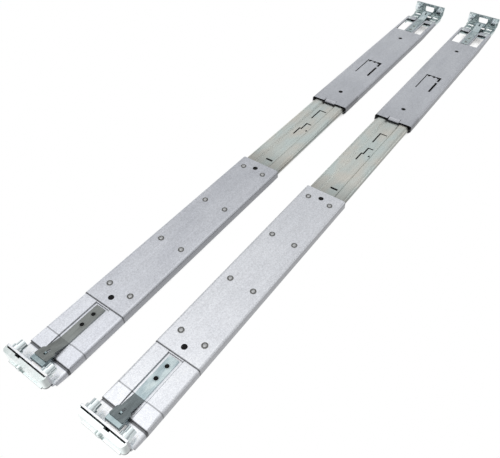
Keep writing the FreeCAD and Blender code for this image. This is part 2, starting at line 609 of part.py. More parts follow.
def intermediate_member():
    """Middle member: shoulders for the outer balls, skirts for the inner balls."""
    half_t = MEMBER_T / 2
    groove_top = MEMBER_TOP_Z - OUTER_T - GROOVE_DEPTH - WEB_CLEARANCE + RELIEF_DEPTH
    web = groove_top - half_t
    half = [
        (GROOVE_HALF_WIDTH - RELIEF_DEPTH, web - RELIEF_DEPTH, 0),
        (GROOVE_HALF_WIDTH + 2 * RELIEF_DEPTH, web, 0),
        (SHOULDER_Y - half_t, web, half_t),
        (SHOULDER_Y - half_t, SKIRT_STEP_TOP, 0),
        (SKIRT_Y - half_t, SKIRT_STEP_BOTTOM, 0),
        (SKIRT_Y - half_t, SKIRT_LIP_Z, 0),
        (SKIRT_Y - half_t - SKIRT_LIP, SKIRT_LIP_Z, 0),
    ]
    return channel(half, MEMBER_T, INTERMEDIATE_FRONT, INTERMEDIATE_REAR)


def stud_slot(x, up):
    """Cutter for a J-shaped stud slot: mouth at the upper edge, run towards the rail's front."""
    half = STUD_SLOT_W / 2
    edge = up * (INNER_HALF_WIDTH + INNER_LIP)
    seat = -up * STUD_SEAT_Y
    mouth = box(x - half, x + half, edge, seat - up * half, -1, OUTER_FACE_Z)
    run = box(x - half - STUD_SLOT_RUN, x, seat - half, seat + half, -1, 2 * INNER_T)
    toe = hole(x - half - STUD_SLOT_RUN, seat, half)
    return mouth.multiFuse([run, toe])


def inner_member(up):
    """Inner member that carries the server, with J-slots for its shoulder studs."""
    half_t = INNER_T / 2
    side = INNER_HALF_WIDTH - half_t
    half = [
        (side, half_t, INNER_BEND_R + half_t),
        (side, INNER_LIP_Z, 0),
        (side + INNER_LIP, INNER_LIP_Z, 0),
    ]
    member = channel(half, INNER_T, INNER_FRONT, INNER_REAR)
    return member.cut([stud_slot(x, up) for x in STUD_SLOTS])


def inner_web_panels(web, up):
    """The inner member's web in panels that meet along straight lines at its stud slots."""
    half = STUD_SLOT_W / 2
    below = -up * STUD_SEAT_Y - up * half
    above = -up * STUD_SEAT_Y + up * half
    panels = []
    start = INNER_FRONT
    for x in STUD_SLOTS:
        toe = x - half - STUD_SLOT_RUN
        panels.append(box(start, toe, -INNER_WEB_Y, INNER_WEB_Y, 0, INNER_T))
        panels.append(box(toe, x + half, -up * INNER_WEB_Y, below, 0, INNER_T))
        panels.append(box(toe, x - half, above, up * INNER_WEB_Y, 0, INNER_T))
        start = x + half
    panels.append(box(start, INNER_REAR, -INNER_WEB_Y, INNER_WEB_Y, 0, INNER_T))
    return Part.makeCompound([web.common(panel) for panel in panels])


# ---------------------------------------------------------------- ball races
def ball_stations():
    pitch = (CAGE_LENGTH - 2 * CAGE_MARGIN) / (CAGE_POCKETS - 1)
    return [CAGE_FRONT + CAGE_MARGIN + pitch * index for index in range(CAGE_POCKETS)]


def cage(ball_r, inner_y, z, height):
    """Two punched retainer strips that space the balls of one race."""
    strips = []
    for side in (-1, 1):
        strip = box(CAGE_FRONT, CAGE_FRONT + CAGE_LENGTH, side * inner_y, side * (inner_y + CAGE_T),
                    z - height / 2, z + height / 2)
        half = ball_r + POCKET_FIT
        pockets = [box(x - half, x + half, 0, side * OUTER_HALF_WIDTH, z - half, z + half)
                   for x in ball_stations()]
        strips.append(strip.cut(pockets))
    return Part.makeCompound(strips)


# ---------------------------------------------------------------- rear bracket and its end
def rear_bracket():
    """Channel that slides along the outer member, with its tongue, lance and windows."""
    half_t = BRACKET_T / 2
    web = REAR_FACE_Z - half_t
    wall = REAR_HALF_WIDTH - half_t
    half = [
        (wall, web, BRACKET_BEND_R + half_t),
        (wall, REAR_LIP_Z, 0),
        (wall - REAR_LIP, REAR_LIP_Z - REAR_LIP, 0),
    ]
    body = channel(half, BRACKET_T, REAR_FRONT, REAR_END)
    tail_cut = Part.Face(Part.makePolygon([
        vec(REAR_END - REAR_TAPER, -REAR_HALF_WIDTH - 1, 0),
        vec(REAR_END - REAR_TAPER, -REAR_HALF_WIDTH - 1, REAR_LIP_Z - REAR_TAPER_DROP),
        vec(REAR_END + 1, -REAR_HALF_WIDTH - 1, REAR_FACE_Z - END_WALL_DEPTH),
        vec(REAR_END + 1, -REAR_HALF_WIDTH - 1, 0),
        vec(REAR_END - REAR_TAPER, -REAR_HALF_WIDTH - 1, 0),
    ])).extrude(vec(0, 2 * REAR_HALF_WIDTH + 2, 0))
    mouth_half = TONGUE_HALF_WIDTH + TONGUE_GAP
    mouth = box(REAR_FRONT - 1, REAR_FRONT + TONGUE_LENGTH, -mouth_half, mouth_half,
                web - half_t - 1, REAR_FACE_Z + 1)
    tongue = across_sheet([(REAR_FRONT, web - TONGUE_DROP, 0),
                           (REAR_FRONT + TONGUE_LIP, web - TONGUE_DROP, 0),
                           (REAR_FRONT + TONGUE_BEND, web, 0),
                           (REAR_FRONT + TONGUE_LENGTH + 1, web, 0)], BRACKET_T, TONGUE_HALF_WIDTH)
    opening = box(WINDOW_FRONT, WINDOW_REAR, -WINDOW_HALF_WIDTH, WINDOW_HALF_WIDTH,
                  web - half_t - 1, REAR_FACE_Z + 1)
    bed_half = BAR_HALF_WIDTH + BAR_BED_GAP
    bar_bed = box(WINDOW_REAR - 1, REAR_END + 1, -bed_half, bed_half, web - half_t - 1, REAR_FACE_Z + 1)
    bar = box(WINDOW_FRONT - BAR_LAP, REAR_END, -BAR_HALF_WIDTH, BAR_HALF_WIDTH, BAR_Z - BRACKET_T, BAR_Z)
    bar_lips = [box(WINDOW_REAR, REAR_END, side * BAR_HALF_WIDTH, side * (BAR_HALF_WIDTH + BAR_LIP),
                    BAR_Z - BRACKET_T, REAR_FACE_Z)
                for side in (-1, 1)]
    body = body.cut([tail_cut, mouth, opening, bar_bed])
    body = fused([body, tongue, bar] + bar_lips)
    cutters = [hole(REAR_FRONT + x, 0, INDEX_HOLE_R) for x in REAR_HOLES] + lance()
    return body.cut(cutters)


def lance():
    """Cutters that free the spring finger in the rear bracket's web."""
    front = REAR_FRONT + LANCE_START
    rear = front + LANCE_LENGTH
    tie = rear - LANCE_TIE_X
    thin_y = LANCE_Y + LANCE_THIN / 2
    thick_y = -LANCE_Y - LANCE_THICK / 2
    cutters = [
        slit([(front, thin_y), (rear, thin_y)], LANCE_THIN),
        slit([(front, thick_y), (tie, thick_y)], LANCE_THICK),
        slit([(tie + LANCE_TIE + LANCE_THICK, thick_y), (rear, thick_y)], LANCE_THICK),
        slit([(rear, thin_y), (rear, thick_y)], LANCE_REAR_W),
    ]
    cutters += [slit([(rear - LANCE_REAR_W, y), (rear, y)], LANCE_TOOTH) for y in LANCE_TEETH]
    return cutters


def rear_end_bracket():
    """Rear floor and flange, riveted under the rear bracket's end."""
    front = REAR_END - END_LAP
    half_t = BRACKET_T / 2
    web = END_FLOOR_Z - half_t
    wall = END_HALF_WIDTH - half_t
    floor_half = [
        (wall, web, BRACKET_BEND_R + half_t),
        (wall, web - END_WALL_DEPTH, 0),
    ]
    floor = channel(floor_half, BRACKET_T, front, REAR_INNER_FACE - BRACKET_T)
    mid_flange = REAR_INNER_FACE + FLANGE_T / 2
    bend = across_sheet([(REAR_INNER_FACE - 3 * BRACKET_T, web, 0), (mid_flange, web, FLANGE_BEND_R),
                         (mid_flange, OUTER_FACE_Z + 1, 0)], BRACKET_T, END_HALF_WIDTH)
    flange = box(REAR_INNER_FACE, REAR_INNER_FACE + FLANGE_T, -FLANGE_HALF_WIDTH, FLANGE_HALF_WIDTH,
                 OUTER_FACE_Z, FLANGE_TOP_Z)
    bottom = OUTER_FACE_Z + FLANGE_WINDOW_BOTTOM
    window = box(REAR_INNER_FACE - FLANGE_WINDOW_LAP, REAR_INNER_FACE + FLANGE_T + 1,
                 -FLANGE_WINDOW_HALF_WIDTH, FLANGE_WINDOW_HALF_WIDTH,
                 bottom, OUTER_FACE_Z + FLANGE_WINDOW_TOP)
    window = fillet_edges(window, FLANGE_WINDOW_R,
                          lambda e: edge_along(e, "x") and e.BoundBox.ZMax < bottom + 0.1)
    pads = [box(END_PAD_X - END_PAD_R, END_PAD_X + END_PAD_R,
                side * (END_PAD_Y - END_PAD_R), side * (END_PAD_Y + END_PAD_R),
                END_FLOOR_Z - BRACKET_T, REAR_FACE_Z - BRACKET_T)
            for side in (-1, 1)]
    body = fused([floor, bend, flange] + pads)
    cutters = [window, hook_window(REAR_INNER_FACE, -1, END_FLOOR_Z)]
    slot_x = REAR_INNER_FACE - END_SLOT_INSET
    cutters += [slit([(slot_x, side * END_SLOT_Y[0]), (slot_x, side * END_SLOT_Y[1])], END_SLOT_W)
                for side in (-1, 1)]
    return body.cut(cutters)


# ---------------------------------------------------------------- the pair
def fixed_pieces(side):
    """Pieces of one rail that stay where they are along the rail, by name."""
    up = side["up"]
    outer_web, races = web_and_edges(outer_member(), ROLL_Y)
    intermediate_web, skirts = web_and_edges(intermediate_member(), SKIRT_WEB_Y)
    inner_web, inner_flanges = web_and_edges(inner_member(up), INNER_WEB_Y)
    return {
        "front_bracket": panels(front_bracket(), [FLOOR_Z - BRACKET_T], "z"),
        "front_end_plate": front_end_plate(side["notch_y"], side["bush_y"]),
        "thumbscrew_bush": thumbscrew_bush(side["bush_y"]),
        "front_guide_pins": guide_pins(FRONT_INNER_FACE, 1),
        "front_latch_spring": latch_spring(FRONT_INNER_FACE, 1, RECESS_Z, FRONT_STRIP_TAIL),
        "front_latch_arm": latch_arm(FRONT_INNER_FACE, 1, RECESS_Z, FRONT_LATCH_TIP,
                                     LATCH_WIDE_HALF_WIDTH),
        "front_latch_hook": latch_hook(FRONT_INNER_FACE, 1, RECESS_Z),
        "slide_outer_member": panels(outer_web, [-GROOVE_WALL_Y, GROOVE_WALL_Y], "y"),
        "outer_member_races": panels(races, [ROLL_Z], "z"),
        "rear_stop_buffer": stop_buffer(),
        "intermediate_member": intermediate_web,
        "intermediate_skirts": skirts,
        "inner_member": inner_web_panels(inner_web, up),
        "inner_member_flanges": inner_flanges,
        "outer_ball_cage": cage(OUTER_BALL_R, SKIRT_Y + OUTER_CAGE_GAP, ROLL_Z, OUTER_CAGE_H),
        "inner_ball_cage": cage(INNER_BALL_R, INNER_BALL_Y - CAGE_T / 2, INNER_BALL_Z, INNER_CAGE_H),
    }


def rear_pieces():
    """Pieces that slide with the rear bracket."""
    rear_web, rear_walls = web_and_edges(rear_bracket(), REAR_WEB_Y)
    return {
        "rear_bracket": rear_web,
        "rear_bracket_walls": panels(rear_walls, [REAR_LIP_Z], "z"),
        "rear_end_bracket": rear_end_bracket(),
        "rear_guide_pins": guide_pins(REAR_INNER_FACE, -1),
        "rear_latch_spring": latch_spring(REAR_INNER_FACE, -1, BAR_Z, REAR_STRIP_TAIL),
        "rear_latch_arm": latch_arm(REAR_INNER_FACE, -1, BAR_Z, REAR_LATCH_TIP, LATCH_HALF_WIDTH),
        "rear_latch_hook": latch_hook(REAR_INNER_FACE, -1, BAR_Z),
    }


def export(name, shape, x, y):
    placed = shape.copy()
    placed.translate(vec(ROW_SHIFT_X + x, y, 0))
    placed.exportStep(os.path.join("parts", name + ".step"))
    print(f"{name}: {len(placed.Solids)} solid(s), valid {placed.isValid()}, {placed.Volume:.0f} mm3")


def main():
    os.makedirs("parts", exist_ok=True)
    for side_name, side in SIDES.items():
        for name, shape in fixed_pieces(side).items():
            export(f"{side_name}_{name}", shape, 0, side["y"])
        for name, shape in rear_pieces().items():
            export(f"{side_name}_{name}", shape, side["rear"], side["y"])


main()
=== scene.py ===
import logging
import math
from dataclasses import dataclass, replace
from enum import Enum
from typing import Callable, Iterable, Sequence

import bmesh
import bpy
from mathutils import Matrix, Vector


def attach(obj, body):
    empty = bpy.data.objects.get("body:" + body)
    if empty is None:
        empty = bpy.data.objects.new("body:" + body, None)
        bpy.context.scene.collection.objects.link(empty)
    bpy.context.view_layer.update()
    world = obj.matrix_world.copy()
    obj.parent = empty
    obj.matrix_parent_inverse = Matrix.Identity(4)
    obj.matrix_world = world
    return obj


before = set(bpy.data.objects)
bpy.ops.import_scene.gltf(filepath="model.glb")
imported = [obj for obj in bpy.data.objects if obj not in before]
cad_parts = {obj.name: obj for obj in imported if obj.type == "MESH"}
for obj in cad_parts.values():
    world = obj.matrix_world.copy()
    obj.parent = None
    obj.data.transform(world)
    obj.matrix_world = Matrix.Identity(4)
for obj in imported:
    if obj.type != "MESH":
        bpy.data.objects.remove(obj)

LOG = logging.getLogger("server_rails")

Colour = tuple[float, float, float]
Point = tuple[float, float, float]
Profile = Sequence[tuple[float, float]]
Socket = bpy.types.NodeSocket
Mesh = bmesh.types.BMesh
Builder = Callable[[Mesh], None]

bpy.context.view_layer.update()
MM = 0.001


# ----------------------------------------------------------------------------- shared sizes
# Millimetres.  Distances along a rail are counted from the front bracket's step, heights from the
# bench, and distances across from the rail's own centre line.
STEP_X = -346.45             # the step, in the row frame
RAIL_Y = 38.1                # centre line of the left rail in the row frame
REAR_OFFSET = 9.6            # the right rail's rear bracket is drawn out further

PLATE_TOP = 12.7
REAR_TOP = 12.8
STRIP_TOP_FRONT = 11.7
STRIP_TOP_REAR = 12.6
END_FLOOR = 10.1
BRACKET_T = 1.5

REAR_FRONT_X = 418.5
GROOVE_FLOOR = 9.6
SLIDE_T = 1.2

RIVET_FIRST_X = 71.6
RIVET_PITCH = 61.2
RIVET_ROWS = 4
RIVET_Y = 11.5
EYELET_X = 31.5
EYELET_PITCH = 11.6
STRIP_RIVET_X = 637.7
STRIP_RIVET_PITCH = 11.8
END_RIVET_X = 672.2
END_RIVET_Y = 16.0
BEND_LINE_X = 14.9
PLATE_EDGE_X = 53.9
FRONT_HOLE_X = 62.0
FRONT_HOLE_PITCH = 197.2
REAR_HOLE_X = 435.2
REAR_HOLE_PITCH = 168.0
HOLE_R = 2.5
BEAD_X = 696.6

LANCE_FRONT = 488.6
LANCE_LENGTH = 35.6
LANCE_Y = 7.6
LANCE_THIN = 1.2
LANCE_THICK = 2.5
LANCE_CROSS = (3.4, 1.3)     # reach of the crossing slit before and behind the finger's end

SLIT_W = 1.5
STOP_SLOT_W = 2.4            # the slits follow, as the corners of their middle lines
STOP_SLOT = ((282.0, 1.0), (282.0, -4.2))
CRANKED_SLIT = ((335.9, 2.8), (348.1, 2.8), (348.1, 0.7), (359.8, 0.7), (359.8, -4.2))
CORNER_SLIT = ((372.3, 1.9), (390.8, 1.9), (390.8, -5.2))

BALL_STATIONS = 4
BALL_FIRST_X = 226.0
BALL_PITCH = 42.0
OUTER_BALL_Y = 16.82
OUTER_BALL_Z = 7.4
OUTER_BALL_R = 1.6
INNER_BALL_Y = 13.57
INNER_BALL_Z = 4.0
INNER_BALL_R = 1.2

BUSH_FACE_X = -21.5
BUSH_FOOT_X = -15.3
BUSH_Z = 15.2
BUSH_BORE_R = 2.1
THREAD_PITCH = 0.8


class Side(Enum):
    """The two rails, by the side of the rack that they serve."""

    LEFT = "left"
    RIGHT = "right"

    @property
    def centre_y(self) -> float:
        """Row-frame Y of the rail's centre line, in millimetres."""
        return RAIL_Y if self is Side.LEFT else -RAIL_Y

    @property
    def rear_shift(self) -> float:
        """How much further back the rear bracket stands than the left rail's, in millimetres."""
        return 0.0 if self is Side.LEFT else REAR_OFFSET

    @property
    def bush_y(self) -> float:
        """The thumbscrew bush's distance from the centre line, in millimetres."""
        return 6.0 if self is Side.LEFT else 1.5


class Body(Enum):
    """Bodies of one rail that carry added pieces."""

    FIXED = "base"
    REAR = "rear"
    OUTER_CAGE = "outer_cage"
    INNER_CAGE = "inner_cage"

    def name_for(self, side: Side) -> str:
        """Return the body's name in the frame, on the given side's rail."""
        return self.value if self is Body.FIXED else f"{side.value}_{self.value}"


def place(side: Side, x: float, y: float, z: float, on_rear: bool = False) -> Vector:
    """Turn a rail's own millimetres into a row-frame point.

    Args:
        side: Rail that the point is on.
        x: Distance along the rail from the front bracket's step.
        y: Distance across from the rail's centre line.
        z: Height above the bench.
        on_rear: True for a point on the sliding rear bracket.

    Returns:
        The point in metres.
    """
    shift = side.rear_shift if on_rear else 0.0
    return Vector(((STEP_X + x + shift) * MM, (side.centre_y + y) * MM, z * MM))


# ----------------------------------------------------------------------------- materials
# Shares of a face's normal between which the painted shade for one way of facing sets in.
FACING = (0.55, 0.95)
UPRIGHT = (0.1, 0.4)

# Millimetres over which a painted shade fades: past the sheet's faces, below its top, behind the
# shaded stretch, and beside a crease.
CUT_FADE = (0.02, 0.12)
SUNK_FADE = (0.4, 0.1)
REACH_FADE = 1.0
CREASE_FADE = 0.4

# Scales along the rail, against the finish's patches, and across it and upwards, against its grain.
STREAKS = (0.7, 0.5, 0.5)
SCRATCHES = (3.0, 2.4, 1.6)
PATCH_ACROSS = 2.2           # scale of the patches across the rail, against that along it

MIDDLE = (0.3, 0.7)          # range of the noise that a contrast is spread over
SCRATCHED = (0.66, 0.74)     # range of the noise that comes out as scratches
WORN = (0.8, 1.2)            # lowest and highest share of the mean roughness
FINE_ROUGHNESS = 0.05
RELIEF_DEPTH = 0.4           # millimetres


class Graph:
    """A material's node tree with short calls for the nodes used here."""

    def __init__(self, name: str) -> None:
        """Start an empty material.

        Args:
            name: Material name.
        """
        self.material = bpy.data.materials.new(name)
        self.material.use_nodes = True
        self.tree = self.material.node_tree
        self.tree.nodes.clear()
        self.output = self.tree.nodes.new("ShaderNodeOutputMaterial")

    def node(self, kind: str, **settings: object) -> bpy.types.Node:
        """Add a node and set its properties.

        Args:
            kind: Node type identifier without its ShaderNode prefix.
            **settings: Properties by name.

        Returns:
            The new node.
        """
        made = self.tree.nodes.new(f"ShaderNode{kind}")
        for key, value in settings.items():
            setattr(made, key, value)
        return made

    def link(self, source: Socket, target: Socket) -> None:
        """Join an output, the source, to an input, the target."""
        self.tree.links.new(source, target)

    def math(self, operation: str, *values: object, clamp: bool = False) -> Socket:
        """Add a math node.

        Args:
            operation: Operation name.
            *values: Sockets or numbers for the inputs.
            clamp: Keep the result within 0 and 1.

        Returns:
            The result socket.
        """
        made = self.node("Math", operation=operation, use_clamp=clamp)
        for index, value in enumerate(values):
            if isinstance(value, (int, float)):
                made.inputs[index].default_value = value
            else:
                self.link(value, made.inputs[index])
        return made.outputs[0]

    def mix(self, factor: object, low: object, high: object, blend: str = "MIX") -> Socket:
        """Mix two colours.

        Args:
            factor: Socket or number.
            low: Colour or socket at factor 0.
            high: Colour or socket at factor 1.
            blend: Blend mode.

        Returns:
            The colour socket.
        """
        made = self.node("Mix", data_type="RGBA", blend_type=blend)
        for key, value in (("Factor", factor), ("A", low), ("B", high)):
            socket = next(s for s in made.inputs if s.name == key and s.enabled)
            if isinstance(value, Socket):
                self.link(value, socket)
            elif isinstance(value, (int, float)):
                socket.default_value = value
            else:
                socket.default_value = (*value, 1.0)
        return next(s for s in made.outputs if s.enabled)

    def noise(self, stretch: Point, detail: float = 3.0, roughness: float = 0.5) -> Socket:
        """Noise over stretched object coordinates.

        Args:
            stretch: Scale per axis, in cycles per metre.
            detail: Number of octaves.
            roughness: Weight of the finer octaves.

        Returns:
            The value socket, between 0 and 1.
        """
        mapping = self.node("Mapping")
        mapping.inputs["Scale"].default_value = stretch
        self.link(self.node("TexCoord").outputs["Object"], mapping.inputs["Vector"])
        made = self.node("TexNoise")
        for key, value in (("Scale", 1.0), ("Detail", detail), ("Roughness", roughness)):
            made.inputs[key].default_value = value
        self.link(mapping.outputs["Vector"], made.inputs["Vector"])
        return made.outputs["Fac"]

    def position(self) -> dict[str, Socket]:
        """Return the object coordinates, by the letter of the axis."""
        return self.axes(self.node("TexCoord").outputs["Object"])

    def axes(self, vector: Socket) -> dict[str, Socket]:
        """Split a vector into its parts.

        Args:
            vector: Vector socket.

        Returns:
            The value sockets by the letter of the axis.
        """
        split = self.node("SeparateXYZ")
        self.link(vector, split.inputs[0])
        return {letter: split.outputs[letter] for letter in "XYZ"}

    def cover(self, shader: bpy.types.Node, height: Socket, strength: float, depth: float,
              normal: Socket | None = None) -> bpy.types.Material:
        """Give a shader its relief and make it the surface.

        Args:
            shader: Shader node.
            height: Height socket.
            strength: Strength of the relief.
            depth: Depth of the relief, in millimetres.
            normal: Normal socket that the relief starts from, where it isn't the face's own.

        Returns:
            The finished material.
        """
        relief = self.node("Bump")
        relief.inputs["Strength"].default_value = strength
        relief.inputs["Distance"].default_value = depth * MM
        self.link(height, relief.inputs["Height"])
        if normal:
            self.link(normal, relief.inputs["Normal"])
        self.link(relief.outputs["Normal"], shader.inputs["Normal"])
        self.link(shader.outputs["BSDF"], self.output.inputs["Surface"])
        return self.material

    def spread(self, value: Socket, low: float, high: float,
               out_low: float = 0.0, out_high: float = 1.0) -> Socket:
        """Map a range onto another, clamped.

        Args:
            value: Socket to map.
            low: Value that becomes out_low.
            high: Value that becomes out_high.
            out_low: Lowest result.
            out_high: Highest result.

        Returns:
            The mapped socket.
        """
        made = self.node("MapRange", clamp=True)
        self.link(value, made.inputs["Value"])
        for key, number in (("From Min", low), ("From Max", high),
                            ("To Min", out_low), ("To Max", out_high)):
            made.inputs[key].default_value = number
        return made.outputs["Result"]


@dataclass(frozen=True)
class CreaseShade:
    """Painted shade along a pressed line across the rail.

    Attributes:
        x: Distance along the rail, in millimetres.
        half_width: Half its width, in millimetres.
        tone: Brightness of the painted shade in it.
    """

    x: float
    half_width: float
    tone: float


@dataclass(frozen=True)
class PaintedStretch:
    """Painted light and shade: a change of brightness along the rail.

    Attributes:
        start: Where it starts, in millimetres.
        end: Where it ends, in millimetres.
        start_tone: Brightness before it.
        end_tone: Brightness after it.
    """

    start: float
    end: float
    start_tone: float
    end_tone: float


@dataclass(frozen=True)
class Metal:
    """A sheet or turned metal finish.

    Attributes:
        name: Material name.
        base: Main reflected colour.
        tint: Colour that large soft patches lean to.
        roughness: Mean roughness.
        patch: Scale of the patches, in cycles per metre.
        patch_depth: How far a patch leans to the tint.
        grain: Scale of the fine mottling, in cycles per metre.
        grain_depth: Contrast of the mottling.
        streak: Contrast of the long rolling streaks.
        scratch: Strength of the fine scratches.
        bump: Strength of the surface relief.
        edge: Radius of the softened edges, in millimetres.
        metallic: Share of metal in the shader.
        flank_shade: Painted shade of the faces that stand across the rail, against those that look up.
        brow_shade: Painted shade of the faces that look to the rail's front.
        cut: Painted shade of the sheet's cut edges.
        sheet: Height of the sheet's lower and upper face in millimetres, where its cut edges are.
        sunk: How far along the rail the lowered faces are in painted shade, in millimetres, and their
            tone.
        creases: Pressed lines across the rail, with painted shade along them.
        painted_stretches: Parts of the rail's length that are painted duller or brighter.
    """

    name: str
    base: Colour
    tint: Colour
    roughness: float
    patch: float = 18.0
    patch_depth: float = 0.5
    grain: float = 900.0
    grain_depth: float = 0.12
    streak: float = 0.10
    scratch: float = 0.25
    bump: float = 0.05
    edge: float = 0.25
    metallic: float = 1.0
    flank_shade: float = 1.0
    brow_shade: float = 1.0
    cut: float = 1.0
    sheet: tuple[float, float] | None = None
    sunk: tuple[float, float] | None = None
    creases: tuple[CreaseShade, ...] = ()
    painted_stretches: tuple[PaintedStretch, ...] = ()

    def build(self) -> bpy.types.Material:
        """Build the material.

        Returns:
            The node material.
        """
        graph = Graph(self.name)
        shader = graph.node("BsdfPrincipled")
        across = self.patch * PATCH_ACROSS
        patches = graph.spread(graph.noise((self.patch, across, across), 2.0), 0.35, 0.65)
        colour = graph.mix(graph.math("MULTIPLY", patches, self.patch_depth), self.base, self.tint)
        fine = graph.noise((self.grain, self.grain, self.grain), 4.0, 0.65)
        streaks, scratches = (
            graph.noise((self.patch * along, self.grain * wide, self.grain * up), detail, roughness)
            for (along, wide, up), detail, roughness in ((STREAKS, 3.0, 0.6), (SCRATCHES, 2.0, 0.5)))
        light = graph.math("ADD", graph.spread(fine, *MIDDLE, -self.grain_depth, self.grain_depth),
                           graph.spread(streaks, *MIDDLE, -self.streak, self.streak))
        scar = graph.spread(scratches, *SCRATCHED, 0.0, self.scratch)
        light = graph.math("SUBTRACT", graph.math("ADD", light, 1.0), scar)
        # Painted shade: faces that stand across the rail or look to its front, cut edges and lowered faces
        # are darkened.
        light = graph.math("MULTIPLY", light, self._painted_facing_shade(graph))
        # Painted shade at the creases, and painted light and shade along the rail's length.
        light = self._painted_shade_along(graph, light)
        colour = graph.mix(1.0, colour, light, "MULTIPLY")
        graph.link(colour, shader.inputs["Base Color"])
        worn = graph.spread(streaks, 0.25, 0.75, *(self.roughness * share for share in WORN))
        mottled = graph.spread(fine, *MIDDLE, -FINE_ROUGHNESS, FINE_ROUGHNESS)
        graph.link(graph.math("ADD", worn, mottled, clamp=True), shader.inputs["Roughness"])
        shader.inputs["Metallic"].default_value = self.metallic
        bevel = graph.node("Bevel", samples=4)
        bevel.inputs["Radius"].default_value = self.edge * MM
        return graph.cover(shader, graph.math("SUBTRACT", fine, scar), self.bump, RELIEF_DEPTH,
                           bevel.outputs["Normal"])

    def _painted_facing_shade(self, graph: Graph) -> Socket:
        """Painted shade of the faces by the way they look: up, across the rail or to its front.

        Args:
            graph: Graph to add to.

        Returns:
            The factor socket.
        """
        facing = graph.axes(graph.node("NewGeometry").outputs["True Normal"])
        sideways, squarely = FACING
        across = graph.math("ABSOLUTE", facing["Y"])
        flank_shade = graph.spread(across, sideways, squarely, 1.0, self.flank_shade)
        brow_shade = graph.spread(facing["X"], -squarely, -sideways, self.brow_shade, 1.0)
        tone = graph.math("MULTIPLY", flank_shade, brow_shade)
        # Painted shade on the cut edges, and below it on the lowered faces.
        if self.sheet:
            spot = graph.position()
            low, high = (level * MM for level in self.sheet)
            middle, half = (low + high) / 2, (high - low) / 2
            off = graph.math("ABSOLUTE", graph.math("SUBTRACT", spot["Z"], middle))
            inside = graph.spread(off, *(half + fade * MM for fade in CUT_FADE), 1.0, 0.0)
            upright = graph.spread(graph.math("ABSOLUTE", facing["Z"]), *UPRIGHT, 1.0, 0.0)
            mask = graph.math("MULTIPLY", inside, upright)
            tone = graph.math("MULTIPLY", tone, graph.spread(mask, 0.0, 1.0, 1.0, self.cut))
            if self.sunk:
                reach, shade = self.sunk
                below = graph.spread(spot["Z"], *(high - fade * MM for fade in SUNK_FADE), 1.0, 0.0)
                near = graph.spread(spot["X"], (STEP_X + reach) * MM,
                                    (STEP_X + reach + REACH_FADE) * MM, 1.0, 0.0)
                lowered = graph.math("MULTIPLY", below, near)
                tone = graph.math("MULTIPLY", tone, graph.spread(lowered, 0.0, 1.0, 1.0, shade))
        return tone

    def _painted_shade_along(self, graph: Graph, light: Socket) -> Socket:
        """Paint light and shade along the rail: shade at the pressed creases and the changes of brightness
        along it.

        Args:
            graph: Graph to add to.
            light: Brightness to change.

        Returns:
            The changed brightness.
        """
        along = graph.position()["X"]
        # Painted shade in a band along each crease.
        for crease in self.creases:
            gap = graph.math("ABSOLUTE", graph.math("SUBTRACT", along, (STEP_X + crease.x) * MM))
            band = graph.spread(gap, crease.half_width * MM, (crease.half_width + CREASE_FADE) * MM,
                                crease.tone, 1.0)
            light = graph.math("MULTIPLY", light, band)
        # Painted light and shade along the rail's length.
        for part in self.painted_stretches:
            change = graph.spread(along, (STEP_X + part.start) * MM, (STEP_X + part.end) * MM,
                                  part.start_tone, part.end_tone)
            light = graph.math("MULTIPLY", light, change)
        return light


@dataclass(frozen=True)
class Matt:
    """A matt, non-metal finish.

    Attributes:
        name: Material name.
        base: Main colour.
        speck: Colour of the specks of dust.
        roughness: Roughness.
        grain: Scale of the specks, in cycles per metre.
    """

    name: str
    base: Colour
    speck: Colour
    roughness: float = 0.7
    grain: float = 1400.0

    def build(self) -> bpy.types.Material:
        """Build the material.

        Returns:
            The node material.
        """
        graph = Graph(self.name)
        shader = graph.node("BsdfPrincipled")
        fine = graph.noise((self.grain, self.grain, self.grain), 3.0, 0.6)
        graph.link(graph.mix(graph.spread(fine, 0.55, 0.75), self.base, self.speck),
                   shader.inputs["Base Color"])
        shader.inputs["Roughness"].default_value = self.roughness
        return graph.cover(shader, fine, strength=0.3, depth=0.1)


